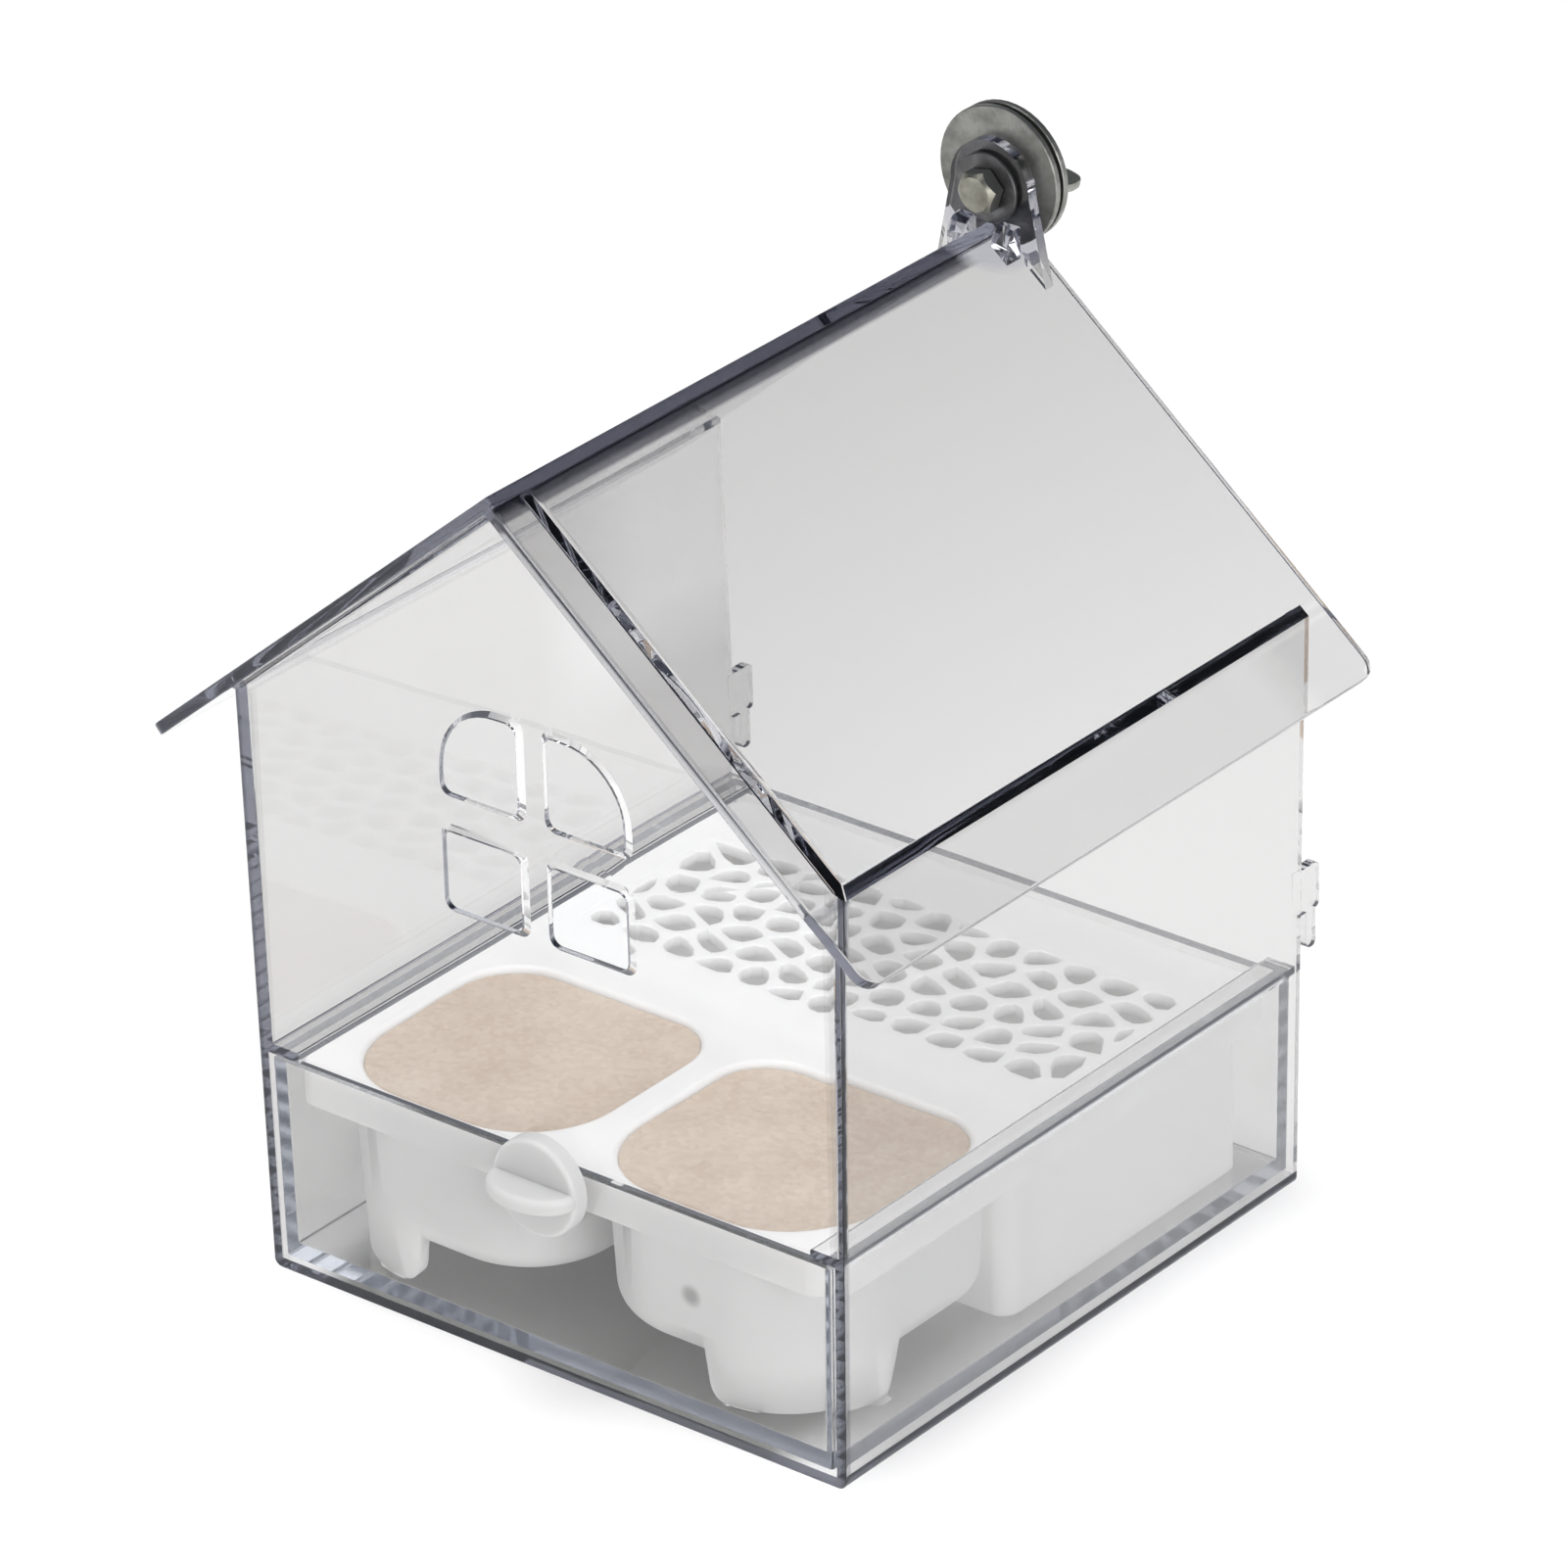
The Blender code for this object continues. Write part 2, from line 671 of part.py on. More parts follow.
def build_knob(material):
    """The white disc on the drawer's front with its grip and the peg that holds it."""
    back_y = -half_depth - seam
    edge = knob_edge_radius
    rim = []
    for step in range(4):
        angle = math.pi / 2 * step / 3
        rim.append((knob_radius - edge + edge * math.sin(angle),
                    -knob_disc_thickness + edge - edge * math.cos(angle)))
    profile = [(0, -knob_disc_thickness)] + rim + [(knob_radius, 0), (0, 0)]
    disc = bmesh.new()
    verts = [disc.verts.new((radius, along, 0)) for radius, along in profile]
    edges = [disc.edges.new((verts[index], verts[index + 1])) for index in range(len(verts) - 1)]
    bmesh.ops.spin(disc, geom=verts + edges, cent=(0, 0, 0), axis=(0, 1, 0), dvec=(0, 0, 0),
                   angle=full_turn, steps=fine_steps, use_merge=True, use_duplicate=False)
    bmesh.ops.remove_doubles(disc, verts=disc.verts, dist=merge_distance)
    knob = finish_object("drawer_knob", disc, material)
    half = tongue_thickness / 2
    levels = []
    for step in range(7):
        angle = -math.pi / 2 + math.pi * step / 6
        lift = math.copysign(half - edge, math.sin(angle)) if step != 3 else 0
        levels.append(at_height(tongue_outline(edge - edge * math.cos(angle)), lift + edge * math.sin(angle)))
    tongue = guide("knob_tongue", stack(levels, False))
    tongue.location = (0, back_y - knob_disc_thickness, knob_height)
    add_boolean(knob, tongue, "UNION")
    peg = guide("knob_peg", rod(peg_radius, -knob_disc_thickness / 2, drawer_thickness, 32))
    peg.location = (0, back_y, knob_height)
    add_boolean(knob, peg, "UNION")
    knob.location = (0, back_y, knob_height)
    return knob


def insert_outline(height, inset):
    """The insert's plan at a height, in from its outer faces by an inset."""
    reach = insert_half_width(height) - inset
    radius = insert_corner_radius - inset / 2
    outline = rectangle(-reach, reach, insert_front_y + inset, insert_back_y - inset, radius, 5)
    return at_height(outline, height)


def cup_ring(side, height, inset):
    """One level of a cup: a rounded square, in from the opening's size by an inset."""
    half_x = cup_half_width - inset
    half_y = cup_half_length - inset
    middle = side * cup_centre_x
    outline = rectangle(middle - half_x, middle + half_x, cup_centre_y - half_y, cup_centre_y + half_y,
                        cup_corner_radius - inset * 0.8, 7)
    return at_height(outline, height)


def cup_levels(side, shell, underside, top):
    """A cup's plain outside from its underside to its top, grown outward by a shell."""
    radius = cup_floor_radius
    rings = []
    for step in range(5):
        angle = math.pi / 2 * step / 4
        height = underside + radius - radius * math.cos(angle)
        draft = cup_draft * (insert_top_z - height) / (insert_top_z - underside)
        rings.append(cup_ring(side, height, draft + radius - radius * math.sin(angle) - shell))
    return rings + [cup_ring(side, top, -shell)]


def cup_outside(side, clearance):
    """The space that a cup fills, with a clearance all round."""
    underside = cup_underside_z - clearance
    return stack(cup_levels(side, cup_wall + clearance, underside, insert_top_z + clearance), False)


def cup_hollow(side):
    """The space inside a cup, widening at its rounded rim."""
    rings = cup_levels(side, 0, cup_underside_z + cup_wall, insert_top_z - cup_rim_radius)
    for step in range(1, 4):
        angle = math.pi / 2 * step / 3
        height = insert_top_z - cup_rim_radius + cup_rim_radius * math.sin(angle)
        rings.append(cup_ring(side, height, -cup_rim_radius + cup_rim_radius * math.cos(angle)))
    rings.append(cup_ring(side, insert_top_z + cup_rim_radius, -cup_rim_radius))
    return stack(rings, False)


def leg_point(distance, depth):
    """A place a distance along the outside of a cup's front corner, and a depth inward from it."""
    radius = cup_corner_radius + cup_wall - cup_draft
    half_arc = radius * math.pi / 4
    middle = Vector((cup_centre_x + cup_half_width - cup_corner_radius,
                     cup_centre_y - cup_half_length + cup_corner_radius))
    turn = -math.pi / 4 + max(-half_arc, min(half_arc, distance)) / radius
    outward = Vector((math.cos(turn), math.sin(turn)))
    beyond = distance - max(-half_arc, min(half_arc, distance))
    along = Vector((-outward.y, outward.x))
    return middle + outward * (radius - depth) + along * beyond


def leg_ring(side, height, front, back):
    """One level of a leg: a curved strip that follows the cup's outer front corner."""
    steps = 14
    outline = []
    for depth, order in ((0, range(steps + 1)), (leg_thickness, range(steps, -1, -1))):
        outline += [leg_point(-front + (front + back) * step / steps, depth) for step in order]
    if side < 0:
        outline = mirrored_points(outline)
    return [Vector((point[0], point[1], height)) for point in outline]


def leg_shape(side):
    """A leg that narrows downward to its toe on the drawer's floor."""
    floor = drawer_inner_z + seam
    span = leg_root_z - floor
    rings = []
    toe_share = leg_toe / span
    for share, tuck in ((0, leg_toe), (toe_share, 0), (toe_share + (1 - toe_share) / 3, 0),
                        (toe_share + (1 - toe_share) * 2 / 3, 0), (1, 0)):
        front = leg_front_foot + (leg_front_root - leg_front_foot) * share - tuck
        back = leg_back_foot + (leg_back_root - leg_back_foot) * share - tuck
        rings.append(leg_ring(side, floor + span * share, front, back))
    return stack(rings, False)


def build_cup(name, side, material):
    """One seed cup, a rounded square with a soft floor, and the leg at its outer front corner."""
    cup = finish_object(name, cup_outside(side, 0), material)
    add_boolean(cup, guide(name + "_leg", leg_shape(side)), "UNION")
    add_boolean(cup, guide(name + "_hollow", cup_hollow(side)), "DIFFERENCE")
    return cup


def clear_of_cups(thing):
    """Cut an object back from both cups."""
    for side, label in ((-1, "left"), (1, "right")):
        cutter = guide(thing.name + "_round_" + label + "_cup", cup_outside(side, seam))
        add_boolean(thing, cutter, "DIFFERENCE")


def build_tray(material):
    """The insert's top plate with its lip, open for the two cups and the standing grille."""
    plate_under = insert_top_z - insert_plate
    edge = insert_edge_radius
    rings = [insert_outline(plate_under, lip_thickness), insert_outline(lip_bottom_z, lip_thickness),
             insert_outline(lip_bottom_z, 0)]
    for step in range(4):
        angle = math.pi / 2 * step / 3
        height = insert_top_z - edge + edge * math.sin(angle)
        rings.append(insert_outline(height, edge - edge * math.cos(angle)))
    tray = finish_object("insert_tray", stack(rings, False), material)
    clear_of_cups(tray)
    window = rectangle(-grille_half_width - seam, grille_half_width + seam, grille_front_y - seam,
                       grille_back_y + seam, grille_corner_radius, 4)
    opening = plate(window, plate_under - insert_plate, insert_top_z + insert_plate)
    add_boolean(tray, guide("grille_opening", opening), "DIFFERENCE")
    return tray


def build_skirt(material):
    """The walls under the tray that box in the space where husks collect."""
    skirt_top_z = insert_top_z - insert_plate - seam
    rings = []
    for inset, height in ((skirt_thickness, skirt_top_z), (skirt_thickness, skirt_bottom_z),
                          (0, skirt_bottom_z), (0, skirt_top_z)):
        outline = rectangle(-skirt_half_width + inset, skirt_half_width - inset, skirt_front_y + inset,
                            skirt_back_y - inset, skirt_corner_radius - inset, 5)
        rings.append(at_height(outline, height))
    skirt = finish_object("husk_skirt", stack(rings, True), material)
    clear_of_cups(skirt)
    return skirt


def clip_cell(polygon, point, normal):
    """Keep the part of a polygon behind a line."""
    kept = []
    for index in range(len(polygon)):
        here = polygon[index - 1]
        after = polygon[index]
        here_side = (here - point).dot(normal)
        after_side = (after - point).dot(normal)
        if here_side <= 0:
            kept.append(here)
        if (here_side <= 0) != (after_side <= 0):
            kept.append(here + (after - here) * (here_side / (here_side - after_side)))
    return kept


def cell_sites():
    """Staggered cell middles that wander a little, so that no two cells are alike."""
    pitch_x = 2 * (grille_half_width - grille_border) / grille_columns
    pitch_y = (grille_back_y - grille_front_y - 2 * grille_border) / grille_rows
    left_x = -grille_half_width + grille_border
    sites = []
    for row in range(grille_rows):
        for column in range(grille_columns):
            order = row * grille_columns + column + 1
            wander_x = math.sin(order * 12.9898) * grille_wander_share
            wander_y = math.sin(order * 78.233) * grille_wander_share
            stagger = 0.25 if row % 2 else -0.25
            sites.append(Vector((left_x + (column + 0.5 + stagger + wander_x) * pitch_x,
                                 grille_front_y + grille_border + (row + 0.5 + wander_y) * pitch_y)))
    return sites


def smoothed(polygon):
    """Cut each corner of a cell back along both of its sides."""
    points = []
    for index in range(len(polygon)):
        here = polygon[index - 1]
        after = polygon[index]
        points.append(here.lerp(after, cell_smooth_share))
        points.append(here.lerp(after, 1 - cell_smooth_share))
    return points


def build_grille(material):
    """The perforated standing area behind the cups, over the space where husks collect."""
    low = insert_top_z - grille_thickness
    outline = rectangle(-grille_half_width, grille_half_width, grille_front_y, grille_back_y,
                        grille_corner_radius - seam, 4)
    grille = finish_object("standing_grille", plate(outline, low, insert_top_z), material)
    border = grille_border + grille_bar / 2
    frame = [Vector((-grille_half_width + border, grille_front_y + border)),
             Vector((grille_half_width - border, grille_front_y + border)),
             Vector((grille_half_width - border, grille_back_y - border)),
             Vector((-grille_half_width + border, grille_back_y - border))]
    sites = cell_sites()
    cells = bmesh.new()
    for site in sites:
        polygon = frame
        for other in sites:
            if other is site:
                continue
            toward = (other - site).normalized()
            polygon = clip_cell(polygon, (site + other) / 2 - toward * (grille_bar / 2), toward)
        floor = low - grille_thickness
        face = cells.faces.new([cells.verts.new((point.x, point.y, floor)) for point in smoothed(polygon)])
        grown = bmesh.ops.extrude_face_region(cells, geom=[face])
        moved = [item for item in grown["geom"] if isinstance(item, bmesh.types.BMVert)]
        bmesh.ops.translate(cells, verts=moved, vec=(0, 0, 3 * grille_thickness))
    add_boolean(grille, guide("grille_cells", cells), "DIFFERENCE")
    return grille


def build_house():
    """Everything that stays still: the clear shell, its hooks and the clamp's fixed half."""
    build_base(clear_plastic("base_clear", tinted_clear_colour))
    build_front_wall(clear_plastic("front_clear", clear_colour))
    build_ear(clear_plastic("ear_clear", tinted_clear_colour))
    for side, label in ((-1, "left"), (1, "right")):
        build_side_wall(label + "_side_wall", side, clear_plastic(label + "_wall_clear", clear_colour))
        build_roof_panel(label + "_roof_panel", side, clear_plastic(label + "_roof_clear", clear_colour))
        build_ledge(label + "_ledge", side, clear_plastic(label + "_ledge_clear", tinted_clear_colour))
        build_hook(label + "_hook", side, clear_plastic(label + "_hook_clear", clear_colour))
    build_bolt(plated_steel("bolt_steel", bolt_colour, 0.35))
    build_washer("head_washer", small_washer_back_y - small_washer_thickness, bolt_height,
                 small_washer_radius, small_washer_bore, small_washer_thickness,
                 plated_steel("head_washer_steel", zinc_colour, 0.4))
    build_washer("front_clamp_washer", front_clamp_y, bolt_height + clamp_washer_lift,
                 clamp_washer_radius, clamp_washer_bore, clamp_washer_thickness,
                 plated_steel("front_washer_steel", zinc_colour, 0.42))


def build_clamp():
    """The clamp's loose half, behind the cage wires."""
    build_washer("rear_clamp_washer", rear_clamp_y, bolt_height + clamp_washer_lift,
                 clamp_washer_radius, clamp_washer_bore, clamp_washer_thickness,
                 plated_steel("rear_washer_steel", zinc_colour, 0.42))
    build_wing_nut(plated_steel("wing_nut_steel", dull_zinc_colour, 0.45))


def build_drawer_group():
    """The drawer and what slides out with it."""
    build_drawer(clear_plastic("drawer_clear", tinted_clear_colour))
    build_knob(white_plastic("knob_white"))
    build_tray(white_plastic("tray_white"))
    build_skirt(white_plastic("skirt_white"))
    build_cup("left_cup", -1, white_plastic("left_cup_white"))
    build_cup("right_cup", 1, white_plastic("right_cup_white"))
    build_grille(white_plastic("grille_white"))


for old in list(bpy.data.objects):
    bpy.data.objects.remove(old, do_unlink=True)
build_house()
build_clamp()
build_drawer_group()
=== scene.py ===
# %% [markdown]
# # A clear feeder that hangs on a bird cage
#
# The real thing is a little house of clear plastic with a drawer in its foot. A white feeding insert
# stands in the drawer, and a bolt with big washers and a wing nut clamps the house to the cage's wires.
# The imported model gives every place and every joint. This lesson dresses it: each plain solid either
# keeps its shape and gets a finish, or gives way to a piece with the curves the real one has.

# %% Load the model
import math

import bmesh
import bpy
from mathutils import Matrix, Vector, noise


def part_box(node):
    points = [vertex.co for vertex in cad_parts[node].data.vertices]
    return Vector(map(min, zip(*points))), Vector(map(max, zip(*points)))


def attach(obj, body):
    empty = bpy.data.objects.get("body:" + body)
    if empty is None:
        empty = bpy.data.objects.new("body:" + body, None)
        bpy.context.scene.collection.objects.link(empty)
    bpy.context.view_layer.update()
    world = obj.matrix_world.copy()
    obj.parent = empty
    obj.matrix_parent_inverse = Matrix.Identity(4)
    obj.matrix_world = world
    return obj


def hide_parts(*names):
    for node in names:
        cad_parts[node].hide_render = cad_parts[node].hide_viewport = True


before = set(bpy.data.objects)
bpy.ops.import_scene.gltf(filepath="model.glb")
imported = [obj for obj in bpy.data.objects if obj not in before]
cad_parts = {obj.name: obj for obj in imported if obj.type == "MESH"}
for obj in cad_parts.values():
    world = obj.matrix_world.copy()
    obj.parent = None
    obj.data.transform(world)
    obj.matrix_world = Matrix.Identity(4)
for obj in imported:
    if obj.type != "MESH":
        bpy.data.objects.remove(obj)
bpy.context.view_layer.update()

# %% [markdown]
# ## Camera
#
# The photograph looks down on the house's front right corner from about two metres away, through a long
# lens, so that upright lines stay nearly parallel. The numbers below come from lining up the house's
# corners with the picture: where the camera stands, which way it looks and how it leans.

# %% Camera
camera_place = Vector((1.05511, -1.28064, 0.96051))
camera_azimuth = math.radians(39.43)
camera_drop = math.radians(27.5)
camera_roll = math.radians(-1.6)
focal_pixels = 10020.82
photo_pixels = 1601

looking = Vector((-math.sin(camera_azimuth) * math.cos(camera_drop),
                  math.cos(camera_azimuth) * math.cos(camera_drop), -math.sin(camera_drop)))
level_right = looking.cross(Vector((0, 0, 1))).normalized()
level_up = level_right.cross(looking)
right = level_right * math.cos(camera_roll) + level_up * math.sin(camera_roll)
up = level_up * math.cos(camera_roll) - level_right * math.sin(camera_roll)
camera_data = bpy.data.cameras.new("photo_camera")
camera_data.sensor_width = 36
camera_data.lens = focal_pixels / photo_pixels * camera_data.sensor_width
camera_data.clip_end = 50
camera = bpy.data.objects.new("photo_camera", camera_data)
bpy.context.scene.collection.objects.link(camera)
camera.matrix_world = Matrix.Translation(camera_place) @ Matrix((right, up, -looking)).transposed().to_4x4()
bpy.context.scene.camera = camera
print("lens", round(camera_data.lens, 1), "mm")

# %% [markdown]
# ## Working by hand, in code
#
# Every new piece starts as a primitive at its own size and place. Its place is then applied, so that its
# object sits at the origin and the numbers in the mesh are real places in metres. In edit mode, what
# would be clicked with the mouse is picked by a test on its place or its direction.

# %% Blocks, rods and picking
def block(name, low, high):
    """A cube stretched from one corner to the other."""
    bpy.ops.object.select_all(action="DESELECT")
    middle = [(a + b) / 2 for a, b in zip(low, high)]
    size = [b - a for a, b in zip(low, high)]
    bpy.ops.mesh.primitive_cube_add(size=1, location=middle, scale=size)
    bpy.ops.object.transform_apply(location=True, rotation=True, scale=True)
    piece = bpy.context.active_object
    piece.name = piece.data.name = name
    return piece


def rod(name, radius, front_y, back_y, height, steps=64):
    """A cylinder along Y at a height over the middle of the house."""
    bpy.ops.object.select_all(action="DESELECT")
    bpy.ops.mesh.primitive_cylinder_add(vertices=steps, radius=radius, depth=back_y - front_y,
                                        location=(0, (front_y + back_y) / 2, height),
                                        rotation=(math.pi / 2, 0, 0))
    bpy.ops.object.transform_apply(location=True, rotation=True, scale=True)
    piece = bpy.context.active_object
    piece.name = piece.data.name = name
    return piece


def open_up(piece):
    """Go into edit mode on one piece alone."""
    bpy.ops.object.select_all(action="DESELECT")
    piece.select_set(True)
    bpy.context.view_layer.objects.active = piece
    bpy.ops.object.mode_set(mode="EDIT")


def pick(piece, kind, test):
    """Select only the vertices, edges or faces that pass a test, and count them."""
    bpy.ops.mesh.select_mode(type=kind)
    bpy.ops.mesh.select_all(action="DESELECT")
    shape = bmesh.from_edit_mesh(piece.data)
    items = {"VERT": shape.verts, "EDGE": shape.edges, "FACE": shape.faces}[kind]
    chosen = [item for item in items if test(item)]
    for item in chosen:
        item.select_set(True)
    bmesh.update_edit_mesh(piece.data)
    return len(chosen)


same_place = 0.00002


def near(value, target, slack=same_place):
    """True if two values in metres are as good as the same."""
    return abs(value - target) < slack


def all_at(item, test):
    """True if every corner of an edge or face passes a test."""
    return all(test(vert.co) for vert in item.verts)


def lies_at(item, axis, value):
    """True if every corner of an edge or face has one value on an axis."""
    return all(near(getattr(vert.co, axis), value) for vert in item.verts)


def span(edge, axis):
    """How far an edge reaches along an axis."""
    return abs(getattr(edge.verts[0].co, axis) - getattr(edge.verts[1].co, axis))


print("drawing helpers", block.__name__, rod.__name__, open_up.__name__, pick.__name__)

# %% [markdown]
# A few gestures do nearly all of the shaping: a bevel on the edges that pass a test, a cut by a plane, a
# turn, a boolean with another piece, and a mirror. Each one leaves its piece in object mode, ready for the
# next. Without a window the turn goes the other way round, and it needs to be told its middle.

# %% Bevels, cuts and joins
def round_edges(piece, test, width, segments):
    """Bevel the edges that pass a test."""
    open_up(piece)
    count = pick(piece, "EDGE", test)
    if count:
        bpy.ops.mesh.bevel(offset=width, segments=segments, profile=0.5, affect="EDGES")
    bpy.ops.object.mode_set(mode="OBJECT")
    print(piece.name, "bevelled edges", count)


def slice_off(piece, point, normal, fill=True):
    """Cut by a plane and drop what lies on the side that its normal points to."""
    open_up(piece)
    bpy.ops.mesh.select_all(action="SELECT")
    bpy.ops.mesh.bisect(plane_co=point, plane_no=Vector(normal).normalized(), use_fill=fill,
                        clear_outer=True, threshold=0.000001)
    bpy.ops.object.mode_set(mode="OBJECT")


def widen_at(piece, height, share):
    """Scale the corners at a height across the house, so that both sides lean."""
    open_up(piece)
    pick(piece, "VERT", lambda vert: near(vert.co.z, height))
    bpy.ops.transform.resize(value=(share, 1, 1), center_override=(0, 0, height))
    bpy.ops.object.mode_set(mode="OBJECT")


def turn(piece, angle, height):
    """Turn a whole piece about a line along Y at a height."""
    open_up(piece)
    bpy.ops.mesh.select_all(action="SELECT")
    bpy.ops.transform.rotate(value=angle, orient_axis="Y", orient_type="GLOBAL", center_override=(0, 0, height))
    bpy.ops.object.mode_set(mode="OBJECT")


def finish_modifier(piece):
    """Apply the modifier that was added last."""
    bpy.ops.object.select_all(action="DESELECT")
    piece.select_set(True)
    bpy.context.view_layer.objects.active = piece
    bpy.ops.object.modifier_apply(modifier=piece.modifiers[-1].name)


def combine(piece, tool, operation):
    """Join another piece to this one or cut it away, and use it up."""
    bpy.context.view_layer.objects.active = piece
    bpy.ops.object.modifier_add(type="BOOLEAN")
    change = piece.modifiers[-1]
    change.operation = operation
    change.solver = "EXACT"
    change.object = tool
    finish_modifier(piece)
    bpy.data.objects.remove(tool)


def mirrored(piece):
    """Give the piece its twin on the other side of the house, in the same mesh."""
    bpy.context.view_layer.objects.active = piece
    bpy.ops.object.modifier_add(type="MIRROR")
    piece.modifiers[-1].merge_threshold = 0.00001
    finish_modifier(piece)
    return piece


def tidy(piece, angle=32):
    """Merge doubles, turn faces outwards, shade smoothly up to an angle and keep large faces flat."""
    open_up(piece)
    bpy.ops.mesh.select_all(action="SELECT")
    bpy.ops.mesh.remove_doubles(threshold=0.000005)
    bpy.ops.mesh.normals_make_consistent(inside=False)
    bpy.ops.object.mode_set(mode="OBJECT")
    bpy.ops.object.shade_smooth_by_angle(angle=math.radians(angle))
    bpy.ops.object.modifier_add(type="WEIGHTED_NORMAL")
    piece.modifiers[-1].keep_sharp = True
    piece.modifiers[-1].weight = 100
    finish_modifier(piece)
    shape = bmesh.new()
    shape.from_mesh(piece.data)
    loose = sum(1 for edge in shape.edges if not edge.is_manifold)
    cubic_cm = round(shape.calc_volume() * 1e6, 2)
    print(piece.name, "faces", len(shape.faces), "open edges", loose, "cm3", cubic_cm)
    shape.free()


# %% [markdown]
# ## The roof
#
# The roof is one bent sheet, 2.6 mm thick: two slopes that meet in a sharp ridge. A slope starts as a flat
# block that is easy to bevel, because its sides still follow the axes: first the two rounded corners at
# the eave, then the fine rim all round. Only then is it turned about the ridge, cut plumb and mirrored.

# %% Sizes of the house
front_y, back_y = -0.0711, 0.0711
ridge_z, eave_line_z = 0.1856, 0.1244
half_width, foot_half_width = 0.073, 0.0708
wall, sheet, skin = 0.0028, 0.0026, 0.0022
long_edge = 0.1
roof_slope = (ridge_z - eave_line_z) / half_width
pitch = math.atan(roof_slope)
lean = (half_width - foot_half_width) / eave_line_z


def outer_x(height):
    """Half the house's width at a height, because the side walls lean outward a little."""
    return foot_half_width + lean * height


print("pitch", round(math.degrees(pitch), 1), "degrees, half width at the foot", outer_x(0), "m")

# %% [markdown]
# The slope is drawn flat, because then "the eave's corners" and "the rim" are easy to name by their axes.
# Cutting it plumb at the middle and mirroring it gives a ridge without a seam.

# %% Roof
roof_front_y, roof_back_y = -0.0808, 0.0755
slope_length, past_ridge = 0.11139, -0.004
eave_corner, roof_rim = 0.004, 0.0004
roof = block("clear_house", (past_ridge, roof_front_y, ridge_z), (slope_length, roof_back_y, ridge_z + sheet))
round_edges(roof, lambda edge: lies_at(edge, "x", slope_length) and span(edge, "y") < same_place,
            eave_corner, 8)
round_edges(roof, lambda edge: min(abs(face.normal.z) for face in edge.link_faces) < 0.1
            and max(abs(face.normal.z) for face in edge.link_faces) > 0.9
            and not lies_at(edge, "x", past_ridge), roof_rim, 2)
turn(roof, -pitch, ridge_z)
print("eave's lowest point", round(min(vert.co.z for vert in roof.data.vertices), 5))
slice_off(roof, (0, 0, 0), (-1, 0, 0), fill=False)
mirrored(roof)
tidy(roof)

# %% [markdown]
# ## Walls, window and base
#
# The walls could be five plates, but a moulding has no seams. So one solid block the size of the house
# is cut to the roof's pitch, and then everything that is air is taken out of it: the room with its open
# back, the mouth for the drawer, and the four window panes. What stays is one skin.

# %% The solid house
top_z = 0.19
foot_round, corner_round = 0.0018, 0.0005
under_roof_z = ridge_z + sheet / 2 / math.cos(pitch)
house = block("house_block", (-foot_half_width, front_y, 0), (foot_half_width, back_y, top_z))
widen_at(house, top_z, outer_x(top_z) / foot_half_width)
round_edges(house, lambda edge: lies_at(edge, "z", 0) and span(edge, "y") > long_edge, foot_round, 4)
round_edges(house, lambda edge: lies_at(edge, "y", front_y) and span(edge, "z") > long_edge, corner_round, 2)
for side in (-1, 1):
    slice_off(house, (0, 0, under_roof_z), (side * math.sin(pitch), 0, math.cos(pitch)))

# %% [markdown]
# The room is cut out as one block that leans with the walls, so all the walls come out equally thick. Its
# lower front is pushed forward through the front wall: that is the mouth that the drawer slides into.

# %% The air inside it
mouth_top, mouth_reach = 0.0476, 0.01
room_back, room_top, room_corner = 0.09, 0.2, 0.0003
room_x = outer_x(skin) - skin
room = block("room", (-room_x, front_y + skin, skin), (room_x, room_back, room_top))
widen_at(room, room_top, (outer_x(room_top) - skin) / room_x)
open_up(room)
bpy.ops.mesh.select_all(action="SELECT")
bpy.ops.mesh.bisect(plane_co=(0, 0, mouth_top), plane_no=(0, 0, 1))
pick(room, "FACE", lambda face: face.normal.y < -0.9 and face.calc_center_median().z < mouth_top)
bpy.ops.mesh.extrude_region_move(TRANSFORM_OT_translate={"value": (0, -mouth_reach, 0)})
bpy.ops.object.mode_set(mode="OBJECT")
round_edges(room, lambda edge: lies_at(edge, "y", front_y + skin) and span(edge, "z") > long_edge
            and all_at(edge, lambda co: co.z > mouth_top - 0.0001), room_corner, 2)
combine(house, room, "DIFFERENCE")

# %% [markdown]
# A pane is a block with rounded corners. Its back widens behind a narrow lip, as a moulded opening does
# so that it leaves the tool, and the lip alone draws the fine line that shows from the front.

